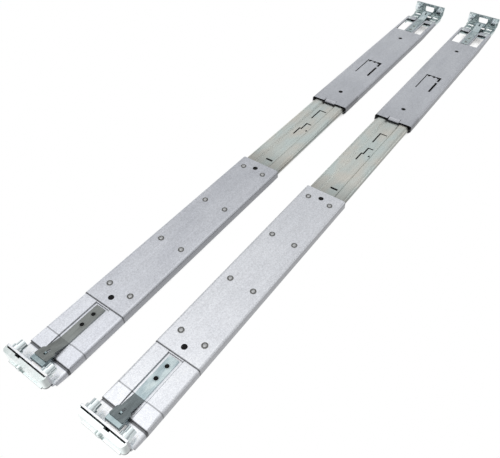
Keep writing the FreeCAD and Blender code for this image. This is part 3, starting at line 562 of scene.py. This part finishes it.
class Finish(Enum):
    """Every finish on the rails."""

    # The flank, brow and cut tones, the creases and the stretches of these finishes are painted shade and
    # light, not colours of the metal.
    FRONT_SHEET = Metal("front_bracket_sheet", (0.62, 0.635, 0.68), (0.72, 0.735, 0.775), 0.42,
                        patch=26.0, grain_depth=0.16, streak=0.03, scratch=0.14, bump=0.12,
                        flank_shade=0.42, brow_shade=0.14, cut=0.08, sheet=(11.2, 12.7), edge=0.35,
                        creases=(CreaseShade(BEND_LINE_X, 0.3, 0.50), CreaseShade(PLATE_EDGE_X, 0.35, 0.42),
                                 CreaseShade(-0.5, 0.9, 0.26)),
                        # Painted light: brighter at the nose and in front of the plate edge, falling off
                        # towards the rear.
                        painted_stretches=(PaintedStretch(-3.0, -1.5, 1.30, 1.10), PaintedStretch(53.9, 54.4, 1.12, 1.0),
                                   PaintedStretch(60.0, 255.0, 1.04, 0.88)))
    # Painted light: a lighter copy of the front bracket's sheet for the right rail, with its own painted
    # falloff along the rail.
    FRONT_SHEET_PALE = replace(FRONT_SHEET, name="front_bracket_sheet_painted_lit", base=(0.77, 0.785, 0.825),
                               tint=(0.86, 0.875, 0.91), painted_stretches=(PaintedStretch(-3.0, -1.5, 1.14, 1.04),
                                                                    PaintedStretch(60.0, 255.0, 1.06, 0.90)))
    GALVANISED = Metal("galvanised_sheet", (0.60, 0.615, 0.655), (0.70, 0.715, 0.75), 0.42,
                       patch=26.0, grain_depth=0.15, streak=0.03, scratch=0.14, bump=0.12,
                       flank_shade=0.42, brow_shade=0.10, cut=0.05, sheet=(11.35, 12.8), edge=0.35,
                       # Painted shade on the lowered tongue and towards the bracket's front end.
                       sunk=(REAR_FRONT_X + 20.0, 0.72),
                       painted_stretches=(PaintedStretch(REAR_FRONT_X, REAR_FRONT_X + 60.0, 0.90, 1.0),))
    BRIGHT_ZINC = Metal("bright_zinc_plating", (0.80, 0.88, 0.87), (0.96, 0.98, 0.975), 0.20,
                        patch=90.0, grain=700.0, grain_depth=0.04, streak=0.06, scratch=0.08, flank_shade=0.50,
                        cut=0.30, sheet=(12.0, 13.2))
    PIN_ZINC = Metal("pin_zinc", (0.72, 0.80, 0.82), (0.90, 0.95, 0.95), 0.12,
                     patch=150.0, grain=700.0, grain_depth=0.05, streak=0.03, scratch=0.06, flank_shade=0.7)
    # Painted highlight: the stiffening bead in the rear floor gets a far paler finish than the floor sheet
    # around it.
    POLISHED = Metal("bead_painted_highlight", (0.94, 0.96, 0.96), (0.98, 0.98, 0.97), 0.30,
                     patch=70.0, grain=700.0, grain_depth=0.03, streak=0.03, scratch=0.05)
    FLANGE_ZINC = Metal("flange_zinc", (0.36, 0.42, 0.44), (0.64, 0.72, 0.70), 0.26,
                        patch=150.0, patch_depth=0.9, grain=700.0, grain_depth=0.10, streak=0.05,
                        scratch=0.15)
    SLIDE = Metal("rolled_slide_steel", (0.71, 0.69, 0.63), (0.60, 0.72, 0.72), 0.32,
                  patch=34.0, patch_depth=0.6, grain=800.0, grain_depth=0.05, streak=0.07,
                  flank_shade=0.5, cut=0.05, sheet=(8.4, 9.6),
                  # Painted shade: the slide is darker in front of 266 mm.
                  painted_stretches=(PaintedStretch(266.0, 300.0, 0.62, 1.0),))
    SPRING = Metal("satin_spring_strip", (0.27, 0.285, 0.275), (0.36, 0.385, 0.375), 0.36,
                   patch=60.0, grain_depth=0.06, streak=0.14, scratch=0.3, brow_shade=0.4)
    # Painted shade: a darker copy of the spring strip for the right rail's latch arm.
    SPRING_DARK = replace(SPRING, name="shaded_spring_strip", base=(0.22, 0.255, 0.265),
                          tint=(0.30, 0.345, 0.35), roughness=0.34)
    # Painted light: a lighter copy of the spring strip for the right rail's latch strip and eyelets.
    SPRING_BRIGHT = Metal("painted_lit_spring_strip", (0.40, 0.49, 0.52), (0.66, 0.75, 0.76), 0.28,
                          patch=90.0, patch_depth=0.9, grain_depth=0.04, streak=0.12,
                          scratch=0.2)
    REAR_SPRING = Metal("rear_spring_strip", (0.42, 0.50, 0.52), (0.66, 0.74, 0.745), 0.30,
                        patch=120.0, patch_depth=0.9, grain_depth=0.05, streak=0.12,
                        scratch=0.2, brow_shade=0.4)
    HOOK = Metal("hook_zinc", (0.30, 0.38, 0.40), (0.48, 0.56, 0.57), 0.24,
                 patch=120.0, grain=800.0, grain_depth=0.05, streak=0.06, flank_shade=0.5, brow_shade=0.4)
    RETAINER = Metal("ball_retainer", (0.42, 0.41, 0.36), (0.50, 0.49, 0.44), 0.40,
                     patch=40.0, grain_depth=0.08)
    RIVET = Metal("rivet_ring", (0.20, 0.20, 0.19), (0.30, 0.30, 0.29), 0.42,
                  patch=300.0, grain=1500.0, grain_depth=0.10, edge=0.1)
    BUTTON = Metal("rivet_button", (0.46, 0.465, 0.47), (0.60, 0.605, 0.61), 0.40,
                   patch=300.0, grain=1500.0, grain_depth=0.10, edge=0.1)
    BALL = Metal("ball_steel", (0.70, 0.70, 0.69), (0.76, 0.76, 0.75), 0.08,
                 patch=400.0, grain=2000.0, grain_depth=0.03, streak=0.02, scratch=0.05, edge=0.02)
    BUFFER = Matt("buffer_rubber", (0.018, 0.018, 0.020), (0.05, 0.05, 0.05), 0.75)
    SHADE = Matt("shaded_cavity", (0.0025, 0.0025, 0.003), (0.006, 0.006, 0.006), 1.0)

    @property
    def material(self) -> bpy.types.Material:
        """The finish's material, built when first asked for."""
        return bpy.data.materials.get(self.value.name) or self.value.build()


FINISHED_NODES: dict[Finish, tuple[str, ...]] = {
    Finish.FRONT_SHEET: ("front_bracket",),
    Finish.BRIGHT_ZINC: ("front_end_plate", "thumbscrew_bush"),
    Finish.PIN_ZINC: ("front_guide_pins", "rear_guide_pins"),
    Finish.SPRING: ("front_latch_spring", "front_latch_arm"),
    Finish.HOOK: ("front_latch_hook", "rear_latch_hook"),
    Finish.SLIDE: ("slide_outer_member", "outer_member_races", "intermediate_member",
                   "intermediate_skirts", "inner_member", "inner_member_flanges"),
    Finish.BUFFER: ("rear_stop_buffer",),
    Finish.RETAINER: ("outer_ball_cage", "inner_ball_cage"),
    Finish.GALVANISED: ("rear_bracket", "rear_bracket_walls"),
    Finish.FLANGE_ZINC: ("rear_end_bracket",),
    Finish.REAR_SPRING: ("rear_latch_spring", "rear_latch_arm"),
}
# The right rail's copies of the same parts carry painted light and shade: a lighter bracket sheet and
# latch strip, a darker latch arm.
SIDE_FINISH: dict[tuple[Side, str], Finish] = {
    (Side.RIGHT, "front_bracket"): Finish.FRONT_SHEET_PALE,
    (Side.RIGHT, "front_latch_spring"): Finish.SPRING_BRIGHT,
    (Side.RIGHT, "front_latch_arm"): Finish.SPRING_DARK,
}


def dress_frame() -> None:
    """Give every CAD node its finish."""
    dressed = [(part, finish) for finish, parts in FINISHED_NODES.items() for part in parts]
    for side in Side:
        for part, finish in dressed:
            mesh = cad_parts[f"{side.value}_{part}"].data
            mesh.materials.clear()
            mesh.materials.append(SIDE_FINISH.get((side, part), finish).material)


# ----------------------------------------------------------------------------- mesh building
def add_object(name: str, data: bpy.types.ID) -> bpy.types.Object:
    """Add an object to the scene.

    Args:
        name: Object name.
        data: Its mesh, light or camera.

    Returns:
        The object.
    """
    made = bpy.data.objects.new(name, data)
    bpy.context.scene.collection.objects.link(made)
    return made


def mesh_object(name: str, build: Builder, finish: Finish,
                smooth: bool = True) -> bpy.types.Object:
    """Build a mesh object at the row frame's origin.

    Args:
        name: Object name.
        build: Fills the mesh with geometry in row-frame metres.
        finish: Its finish.
        smooth: Shade the faces smooth.

    Returns:
        The linked object.
    """
    mesh = bpy.data.meshes.new(name)
    work = bmesh.new()
    build(work)
    bmesh.ops.remove_doubles(work, verts=work.verts, dist=1e-7)
    bmesh.ops.recalc_face_normals(work, faces=work.faces)
    for face in work.faces:
        face.smooth = smooth
    work.to_mesh(mesh)
    work.free()
    if smooth:
        mesh.set_sharp_from_angle(angle=math.radians(35))
    mesh.materials.append(finish.material)
    return add_object(name, mesh)


def add_turned(work: Mesh, profile: Profile, origin: Vector, axis: Vector,
               steps: int = 40) -> None:
    """Add a surface of revolution.

    Args:
        work: Mesh to add to.
        profile: Pairs of distance along the axis and radius, in millimetres.
        origin: Point on the axis, in metres.
        axis: Unit direction of the axis.
        steps: Facets around.
    """
    turn = axis.to_track_quat("Z", "X").to_matrix()
    rings = []
    for along, radius in profile:
        ring = []
        for step in range(steps):
            angle = 2 * math.pi * step / steps
            local = Vector((radius * math.cos(angle), radius * math.sin(angle), along)) * MM
            ring.append(work.verts.new(origin + turn @ local))
        rings.append(ring)
    for low, high in zip(rings, rings[1:]):
        for step in range(steps):
            after = (step + 1) % steps
            work.faces.new((low[step], low[after], high[after], high[step]))
    for ring, radius in ((rings[0], profile[0][1]), (rings[-1], profile[-1][1])):
        if radius > 1e-4:
            work.faces.new(ring)


def add_box(work: Mesh, low: Vector, high: Vector) -> None:
    """Add an axis-aligned box.

    Args:
        work: Mesh to add to.
        low: Lowest corner, in metres.
        high: Highest corner, in metres.
    """
    centre = (low + high) / 2
    size = high - low
    scale = Matrix.Diagonal((abs(size.x), abs(size.y), abs(size.z), 1.0))
    bmesh.ops.create_cube(work, size=1.0, matrix=Matrix.Translation(centre) @ scale)


def arc_profile(radius: float, height: float, base: float, steps: int = 8) -> list[tuple[float, float]]:
    """Return the heights and radii of a low dome, from its rim at the base height to its middle."""
    return [(base + height * math.sin(math.pi / 2 * i / steps), radius * math.cos(math.pi / 2 * i / steps))
            for i in range(steps + 1)]


UP = Vector((0, 0, 1))
ORIGIN = Vector((0, 0, 0))


def ball_shape(radius: float) -> Builder:
    """Return a builder for one ball at the origin, with its radius in millimetres."""
    return lambda work: bmesh.ops.create_uvsphere(work, u_segments=20, v_segments=12, radius=radius * MM)


def turned_shape(profile: Profile, steps: int = 40) -> Builder:
    """Return a builder for a turned shape at the origin, from its heights and radii in millimetres."""
    return lambda work: add_turned(work, profile, ORIGIN, UP, steps)


# ----------------------------------------------------------------------------- repeated shapes
@dataclass(frozen=True)
class Rows:
    """Evenly spaced places along a rail, in one line or in two beside each other.

    Attributes:
        side: Rail that they are on.
        first: Distance of the first place along the rail, in millimetres.
        height: Height of the places, in millimetres.
        count: Places in a line.
        pitch: Spacing along the rail, in millimetres.
        across: Distance of the two lines from the centre line, in millimetres; 0 for one line.
        body: Body that carries what stands there.
    """

    side: Side
    first: float
    height: float
    count: int = 1
    pitch: float = 0.0
    across: float = 0.0
    body: Body = Body.FIXED

    def fill(self, name: str, shape: Builder, finish: Finish,
             smooth: bool = True) -> None:
        """Set one shape at every place and let the lot ride on the body.

        Args:
            name: Name of the piece, after the side's.
            shape: Builder of the shape at the origin.
            finish: Its finish.
            smooth: Shade its faces smooth.
        """
        pattern = mesh_object(f"{name}_pattern", shape, finish, smooth)
        host = add_object(f"{name}_host", bpy.data.meshes.new(f"{name}_host"))
        modifier = host.modifiers.new("rows", "NODES")
        modifier.node_group = rows_tree()
        settings = {
            "Shape": pattern,
            "Start": tuple(place(self.side, self.first, 0, self.height, self.body is Body.REAR)),
            "Count": self.count,
            "Pitch": self.pitch * MM,
            "Across": self.across * MM,
            "Finish": finish.material,
        }
        for socket in modifier.node_group.interface.items_tree:
            if socket.in_out == "INPUT":
                modifier[socket.identifier] = settings[socket.name]
        mesh = bpy.data.meshes.new_from_object(host.evaluated_get(bpy.context.evaluated_depsgraph_get()))
        mesh.name = f"{self.side.value}_{name}"
        host.modifiers.remove(modifier)
        for spare in (host, pattern):
            data = spare.data
            bpy.data.objects.remove(spare)
            bpy.data.meshes.remove(data)
        made = add_object(f"{self.side.value}_{name}", mesh)
        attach(made, self.body.name_for(self.side))
        LOG.info("%s: %d polygons", made.name, len(mesh.polygons))


def rows_tree() -> bpy.types.GeometryNodeTree:
    """Return the Geometry Nodes tree that sets a shape at each place of one or two lines."""
    name = "shape_in_rows"
    if name in bpy.data.node_groups:
        return bpy.data.node_groups[name]
    tree = bpy.data.node_groups.new(name, "GeometryNodeTree")
    for title, kind in (("Shape", "Object"), ("Start", "Vector"), ("Count", "Int"), ("Pitch", "Float"),
                        ("Across", "Float"), ("Finish", "Material")):
        tree.interface.new_socket(title, in_out="INPUT", socket_type=f"NodeSocket{kind}")
    tree.interface.new_socket("Geometry", in_out="OUTPUT", socket_type="NodeSocketGeometry")
    nodes, links = tree.nodes, tree.links
    inlet = nodes.new("NodeGroupInput").outputs
    pitch = nodes.new("ShaderNodeCombineXYZ")
    links.new(inlet["Pitch"], pitch.inputs["X"])
    lines = nodes.new("GeometryNodeJoinGeometry")
    for sign in (1, -1):
        aside = nodes.new("ShaderNodeMath")
        aside.operation = "MULTIPLY"
        aside.inputs[1].default_value = sign
        offset = nodes.new("ShaderNodeCombineXYZ")
        start = nodes.new("ShaderNodeVectorMath")
        line = nodes.new("GeometryNodeMeshLine")
        for source, target in (
                (inlet["Across"], aside.inputs[0]),
                (aside.outputs[0], offset.inputs["Y"]),
                (inlet["Start"], start.inputs[0]),
                (offset.outputs[0], start.inputs[1]),
                (inlet["Count"], line.inputs["Count"]),
                (start.outputs[0], line.inputs["Start Location"]),
                (pitch.outputs[0], line.inputs["Offset"]),
                (line.outputs["Mesh"], lines.inputs[0])):
            links.new(source, target)
    places, shape, copies, real, dress = (nodes.new(f"GeometryNode{kind}") for kind in (
        "MergeByDistance", "ObjectInfo", "InstanceOnPoints", "RealizeInstances", "SetMaterial"))
    outlet = nodes.new("NodeGroupOutput")
    for source, target in (
            (lines.outputs[0], places.inputs["Geometry"]),
            (inlet["Shape"], shape.inputs["Object"]),
            (places.outputs["Geometry"], copies.inputs["Points"]),
            (shape.outputs["Geometry"], copies.inputs["Instance"]),
            (copies.outputs["Instances"], real.inputs["Geometry"]),
            (real.outputs["Geometry"], dress.inputs["Geometry"]),
            (inlet["Finish"], dress.inputs["Material"]),
            (dress.outputs["Geometry"], outlet.inputs["Geometry"])):
        links.new(source, target)
    return tree


# ----------------------------------------------------------------------------- sub-assemblies
@dataclass
class RivetField:
    """Clinched rivets that hold the front bracket to the slide.

    Attributes:
        side: Rail that they are on.
        radius: Radius of the clinch ring, in millimetres.
        rise: Height of the button above the plate, in millimetres.
    """

    side: Side
    radius: float = 2.7
    rise: float = 0.75

    def build(self) -> None:
        """Build the rings and the buttons, which ride on the fixed body."""
        r = self.radius
        ring = [(-0.3, r), (0.25, r), (0.45, r - 0.18), (0.45, r - 0.5), (0.06, r - 0.75), (0.02, r - 1.0)]
        button = [(-0.3, r - 0.85), (0.1, r - 0.85), *arc_profile(r - 0.95, self.rise - 0.2, 0.2)]
        rows = Rows(self.side, RIVET_FIRST_X, PLATE_TOP, RIVET_ROWS, RIVET_PITCH, RIVET_Y)
        rows.fill("rivet_rings", turned_shape(ring), Finish.RIVET)
        rows.fill("rivet_buttons", turned_shape(button), Finish.BUTTON)


@dataclass
class StripEyelets:
    """Eyelets that hold the front latch strip, with dark discs of painted shade in their bores.

    Attributes:
        side: Rail that they are on.
        radius: Outside radius, in millimetres.
        bore: Bore radius, in millimetres.
    """

    side: Side
    radius: float = 2.5
    bore: float = 1.75

    def build(self) -> None:
        """Build the rolled rims and the painted-shade discs in the bores."""
        rim = [(-0.3, self.radius), (0.12, self.radius), (0.30, self.radius - 0.2),
               (0.30, self.bore + 0.15), (0.16, self.bore), (-0.3, self.bore)]
        # A thin dark disc of painted shade in each bore.
        shade = [(0.03, self.bore), (0.05, self.bore), (0.05, 0.0)]
        # The right rail's eyelets take the painted lighter copy of the spring finish.
        finish = Finish.SPRING if self.side is Side.LEFT else Finish.SPRING_BRIGHT
        rows = Rows(self.side, EYELET_X, STRIP_TOP_FRONT, 2, EYELET_PITCH)
        rows.fill("front_strip_eyelets", turned_shape(rim), finish)
        rows.fill("front_strip_bores", turned_shape(shade), Finish.SHADE)


@dataclass
class RearRivets:
    """Small rivets of the rear latch strip and the two that hold the rear end bracket.

    Attributes:
        side: Rail that they are on.
    """

    side: Side

    def build(self) -> None:
        """Build the heads, which ride on the rear bracket."""
        small = [(-0.2, 1.7), (0.15, 1.7), *arc_profile(1.55, 0.45, 0.2, 5)]
        large = [(-0.3, 2.7), (0.1, 2.7), (0.35, 2.4), (0.35, 1.3), (0.15, 1.1), (0.12, 0.0)]
        strip = Rows(self.side, STRIP_RIVET_X, STRIP_TOP_REAR, 2, STRIP_RIVET_PITCH, body=Body.REAR)
        strip.fill("rear_strip_rivets", turned_shape(small, 28), Finish.SPRING)
        ends = Rows(self.side, END_RIVET_X, REAR_TOP, across=END_RIVET_Y, body=Body.REAR)
        ends.fill("rear_end_rivets", turned_shape(large), Finish.BRIGHT_ZINC)


@dataclass
class BallRaces:
    """Steel balls in the two cages of one rail.

    Attributes:
        side: Rail that they are in.
    """

    side: Side

    def build(self) -> None:
        """Build the balls of each cage, which ride on it."""
        for body, radius, across, height in (
                (Body.OUTER_CAGE, OUTER_BALL_R, OUTER_BALL_Y, OUTER_BALL_Z),
                (Body.INNER_CAGE, INNER_BALL_R, INNER_BALL_Y, INNER_BALL_Z)):
            rows = Rows(self.side, BALL_FIRST_X, height, BALL_STATIONS, BALL_PITCH, across, body)
            rows.fill(f"{body.value}_balls", ball_shape(radius), Finish.BALL)


@dataclass
class ShadedHoles:
    """Dark floors of painted shade in the index holes and under the slits, which open on the dark inside
    of the rail.

    Attributes:
        side: Rail that they are on.
        depth: Depth of the floors below the sheet's face, in millimetres.
        floor_t: Thickness of the floors under the slide's slits.
        overlap: How far a floor reaches past the edge of its hole.
    """

    side: Side
    depth: float = 1.25
    floor_t: float = 0.3
    overlap: float = 0.02

    def lance_shade_boxes(self, work: Mesh) -> None:
        """Add the painted-shade floors of the slits round the rear bracket's spring finger.

        Args:
            work: Mesh to add to.
        """
        back = LANCE_FRONT + LANCE_LENGTH
        before, behind = LANCE_CROSS
        slits = (
            (LANCE_FRONT - LANCE_THIN / 2, back + LANCE_THIN / 2, LANCE_Y, LANCE_Y + LANCE_THIN),
            (LANCE_FRONT - LANCE_THICK / 2, back + LANCE_THICK / 2, -LANCE_Y - LANCE_THICK, -LANCE_Y),
            (back - before, back + behind, -LANCE_Y, LANCE_Y + LANCE_THIN),
        )
        for x0, x1, y0, y1 in slits:
            low = place(self.side, x0, y0, REAR_TOP - BRACKET_T + 0.05, True)
            high = place(self.side, x1, y1, REAR_TOP - self.depth, True)
            add_box(work, low, high)

    def slit_shade_boxes(self, work: Mesh) -> None:
        """Add the painted-shade floors of the slide's three slits.

        Args:
            work: Mesh to add to.
        """
        top = GROOVE_FLOOR - SLIDE_T / 2
        for line, width in ((STOP_SLOT, STOP_SLOT_W), (CRANKED_SLIT, SLIT_W), (CORNER_SLIT, SLIT_W)):
            half = width / 2
            for (x0, y0), (x1, y1) in zip(line, line[1:]):
                low = place(self.side, min(x0, x1) - half, min(y0, y1) - half, top - self.floor_t)
                high = place(self.side, max(x0, x1) + half, max(y0, y1) + half, top)
                add_box(work, low, high)

    def build(self) -> None:
        """Build the painted-shade floors; each rides with the sheet that it is in."""
        radius = HOLE_R + self.overlap
        cup = turned_shape([(-0.05, radius), (-self.depth, radius - 0.01), (-self.depth, 0.0)])
        front = Rows(self.side, FRONT_HOLE_X, PLATE_TOP, 2, FRONT_HOLE_PITCH)
        rear = Rows(self.side, REAR_HOLE_X, REAR_TOP, 2, REAR_HOLE_PITCH, body=Body.REAR)
        # Near-black cups and boxes of painted shade where the holes and slits look into the rail's dark
        # inside.
        front.fill("front_hole_floors", cup, Finish.SHADE, smooth=False)
        rear.fill("rear_hole_floors", cup, Finish.SHADE, smooth=False)
        for part, build, body, slot in (
                ("lance_floors", self.lance_shade_boxes, Body.REAR, "galvanised_steel"),
                ("slide_slit_floors", self.slit_shade_boxes, Body.FIXED, "slide_steel")):
            made = mesh_object(f"{self.side.value}_{part}", build, Finish.SHADE, smooth=False)
            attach(made, body.name_for(self.side))


@dataclass
class EndDetails:
    """Thread of the thumbscrew bush and beads of the rear floor.  Lengths are in millimetres.

    Attributes:
        side: Rail that they are on.
        crest_gap: Room between the thread's crests and the bore.
        thread_depth: Depth of the thread.
        lead_in: Length before the first crest.
        run_out: Length behind the thread.
        bead_radius: Half the width of a bead, and its rise.
        bead_from: Distance of a bead's inner end from the centre line.
        bead_to: Distance of its outer end.
        bead_taper: Share of its length over which each end falls away.
        bead_sink: How deep its foot sits in the floor.
        bead_steps: Facets over its width.
    """

    side: Side
    crest_gap: float = 0.02
    thread_depth: float = 0.3
    lead_in: float = 0.2
    run_out: float = 0.1
    bead_radius: float = 1.3
    bead_from: float = 8.2
    bead_to: float = 17.6
    bead_taper: float = 0.12
    bead_sink: float = 0.05
    bead_steps: int = 10

    def thread(self, work: Mesh) -> None:
        """Add the bush's thread.

        Args:
            work: Mesh to add to.
        """
        length = BUSH_FOOT_X - BUSH_FACE_X
        wide = BUSH_BORE_R - self.crest_gap
        narrow = wide - self.thread_depth
        profile = []
        for index in range(int(length / THREAD_PITCH)):
            profile.append((index * THREAD_PITCH + self.lead_in, wide))
            profile.append(((index + 0.5) * THREAD_PITCH + self.lead_in, narrow))
        foot = length - self.run_out
        start = place(self.side, BUSH_FACE_X, self.side.bush_y, BUSH_Z)
        add_turned(work, [*profile, (foot, wide), (foot, 0.0)], start, Vector((1, 0, 0)))

    def bead(self, work: Mesh) -> None:
        """Add the stiffening bead at each side of the rear floor's middle.

        Args:
            work: Mesh to add to.
        """
        radius = self.bead_radius
        turns = [math.pi * step / self.bead_steps for step in range(self.bead_steps + 1)]
        for sign in (-1, 1):
            start = place(self.side, BEAD_X, sign * self.bead_from, END_FLOOR, True)
            end = place(self.side, BEAD_X, sign * self.bead_to, END_FLOOR, True)
            rows = []
            for share, swell in ((0.0, 0.0), (self.bead_taper, 1.0), (1.0 - self.bead_taper, 1.0),
                                 (1.0, 0.0)):
                centre = start.lerp(end, share)
                rows.append([work.verts.new(centre + Vector((
                    -radius * math.cos(turn), 0,
                    radius * swell * math.sin(turn) - self.bead_sink)) * MM) for turn in turns])
            for low, high in zip(rows, rows[1:]):
                for a, b, c, d in zip(low, low[1:], high[1:], high):
                    work.faces.new((a, b, c, d))

    def build(self) -> None:
        """Build the thread and the beads."""
        thread = mesh_object(f"{self.side.value}_bush_thread", self.thread, Finish.BRIGHT_ZINC)
        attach(thread, Body.FIXED.name_for(self.side))
        # The bead's pale finish is a painted highlight.
        bead = mesh_object(f"{self.side.value}_rear_floor_bead", self.bead, Finish.POLISHED)
        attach(bead, Body.REAR.name_for(self.side))


@dataclass
class Rail:
    """Everything added to one rail.

    Attributes:
        side: Which rail it is.
    """

    side: Side

    def build(self) -> None:
        """Build the rail's sub-assemblies."""
        for assembly in (RivetField, StripEyelets, RearRivets, BallRaces, ShadedHoles, EndDetails):
            assembly(self.side).build()
            LOG.info("%s rail: %s", self.side.value, assembly.__name__)


# ----------------------------------------------------------------------------- studio
@dataclass(frozen=True)
class SkyStop:
    """Colour of the surround at one height.

    Attributes:
        height: Sine of the elevation.
        colour: Colour there.
    """

    height: float
    colour: Colour


SKY = (
    SkyStop(0.0, (1.0, 1.0, 1.0)),
    SkyStop(0.22, (1.0, 1.0, 1.0)),
    SkyStop(0.34, (0.42, 0.44, 0.45)),
    SkyStop(0.56, (0.50, 0.505, 0.51)),
    SkyStop(0.66, (0.54, 0.545, 0.55)),
    SkyStop(0.73, (0.62, 0.625, 0.63)),
    SkyStop(0.82, (0.86, 0.86, 0.86)),
    SkyStop(1.0, (1.0, 1.0, 1.0)),
)


@dataclass(frozen=True)
class Softbox:
    """An area light that looks at the middle of the pair.

    Attributes:
        name: Light name.
        location: Where it stands, in metres.
        size: Width and height, in metres.
        power: Power in watts.
        colour: Light colour.
    """

    name: str
    location: Point
    size: tuple[float, float]
    power: float
    colour: Colour = (1.0, 1.0, 1.0)

    def build(self) -> None:
        """Add the light to the scene."""
        data = bpy.data.lights.new(self.name, "AREA")
        data.shape = "RECTANGLE"
        data.size, data.size_y = self.size
        data.energy = self.power
        data.color = self.colour
        lamp = add_object(self.name, data)
        lamp.location = self.location
        lamp.rotation_euler = (-Vector(self.location)).to_track_quat("-Z", "Y").to_euler()


@dataclass(frozen=True)
class Studio:
    """White bench, surrounding light and lamps.

    Attributes:
        bench_half: Half the length of the bench's sides, in metres.
        bench_drop: How far the bench lies under the pair, in metres.
        shadow_reach: Distance within which a painted shadow of the pair darkens the bench, in metres.
        lights: The lamps.
    """

    bench_half: float = 3.0
    bench_drop: float = 0.0002
    shadow_reach: float = 0.03
    lights: tuple[Softbox, ...] = (
        Softbox("key_softbox", (-0.5, 0.5, 1.6), (1.2, 1.2), 3.0),
        Softbox("rear_softbox", (1.4, 0.6, 1.2), (1.0, 0.8), 0.6, (0.96, 0.98, 1.0)),
        Softbox("front_softbox", (-1.4, -0.1, 0.35), (0.9, 0.5), 1.6),
        Softbox("edge_strip", (0.9, -1.2, 0.66), (0.9, 0.16), 0.8),
    )

    def floor(self) -> None:
        """Add the bench, which the camera and the metal's reflections see as plain white, darkened by a
        painted shadow where the pair covers it.
        """
        graph = Graph("white_bench")
        diffuse = graph.node("BsdfDiffuse")
        grain = graph.noise((40.0, 40.0, 40.0), 2.0)
        graph.link(graph.mix(graph.spread(grain, 0.3, 0.7), (0.36, 0.38, 0.39), (0.40, 0.42, 0.43)),
                   diffuse.inputs["Color"])
        white = graph.node("Emission")
        # Painted shadow: occlusion by the pair darkens the white that the camera and reflections see.
        cover = graph.node("AmbientOcclusion", samples=8)
        cover.inputs["Distance"].default_value = self.shadow_reach
        graph.link(graph.spread(cover.outputs["AO"], 0.06, 0.20, 0.02, 1.0), white.inputs["Strength"])
        path = graph.node("LightPath")
        seen = graph.math("ADD", path.outputs["Is Camera Ray"], path.outputs["Is Glossy Ray"])
        seen = graph.math("ADD", seen, path.outputs["Is Transmission Ray"], clamp=True)
        mixer = graph.node("MixShader")
        graph.link(seen, mixer.inputs[0])
        graph.link(diffuse.outputs["BSDF"], mixer.inputs[1])
        graph.link(white.outputs["Emission"], mixer.inputs[2])
        graph.link(mixer.outputs["Shader"], graph.output.inputs["Surface"])
        graph.material.cycles.emission_sampling = "NONE"
        mesh = bpy.data.meshes.new("bench")
        half = self.bench_half
        mesh.from_pydata([(-half, -half, 0), (half, -half, 0), (half, half, 0), (-half, half, 0)], [],
                         [(0, 1, 2, 3)])
        mesh.materials.append(graph.material)
        bench = add_object("bench", mesh)
        bench.location.z = -self.bench_drop

    def surround(self) -> None:
        """Light the scene from all round: white at the horizon and overhead, greyer between."""
        world = bpy.data.worlds.new("studio")
        bpy.context.scene.world = world
        world.use_nodes = True
        nodes, links = world.node_tree.nodes, world.node_tree.links
        nodes.clear()
        coordinates, split, ramp, soft, output = (nodes.new(f"ShaderNode{kind}") for kind in (
            "TexCoord", "SeparateXYZ", "ValToRGB", "Background", "OutputWorld"))
        stops = ramp.color_ramp.elements
        stops[0].position, stops[1].position = SKY[0].height, SKY[-1].height
        for stop in SKY[1:-1]:
            stops.new(stop.height)
        for element, stop in zip(stops, SKY):
            element.color = (*stop.colour, 1.0)
        for source, target in (
                (coordinates.outputs["Generated"], split.inputs[0]),
                (split.outputs["Z"], ramp.inputs[0]),
                (ramp.outputs["Color"], soft.inputs["Color"]),
                (soft.outputs[0], output.inputs["Surface"])):
            links.new(source, target)

    def build(self) -> None:
        """Build the bench, the surround and the lamps."""
        self.floor()
        self.surround()
        for light in self.lights:
            light.build()
        bpy.context.scene.view_settings.view_transform = "Standard"


@dataclass(frozen=True)
class Viewpoint:
    """The camera, given by where it stands and its own axes in the row frame.

    Attributes:
        location: Where it stands, in metres.
        right: Unit direction to its right.
        above: Unit direction of its top.
        forward: Unit direction that it looks in.
        lens: Focal length, in millimetres.
        sensor: Width of the sensor, in millimetres.
        nearest: Distance from which it sees things, in metres.
    """

    location: Point = (-0.42275, -0.1957, 0.3502)
    right: Point = (0.58454, -0.81136, 0.00338)
    above: Point = (0.58366, 0.42339, 0.69288)
    forward: Point = (0.56360, 0.40304, -0.72105)
    lens: float = 37.78
    sensor: float = 36.0
    nearest: float = 0.01

    def build(self) -> None:
        """Add the camera and make it the scene's."""
        data = bpy.data.cameras.new("camera")
        data.lens = self.lens
        data.sensor_width = self.sensor
        data.clip_start = self.nearest
        camera = add_object("camera", data)
        axes = Matrix((self.right, self.above, tuple(-v for v in self.forward))).transposed()
        camera.matrix_world = Matrix.Translation(self.location) @ axes.to_4x4()
        bpy.context.scene.camera = camera


def main() -> None:
    """Dress the frame, add both rails' details, and set up the studio and the camera."""
    logging.basicConfig(level=logging.INFO, format="%(name)s: %(message)s")
    dress_frame()
    for side in Side:
        Rail(side).build()
    Studio().build()
    Viewpoint().build()


if __name__ == "__main__":
    main()
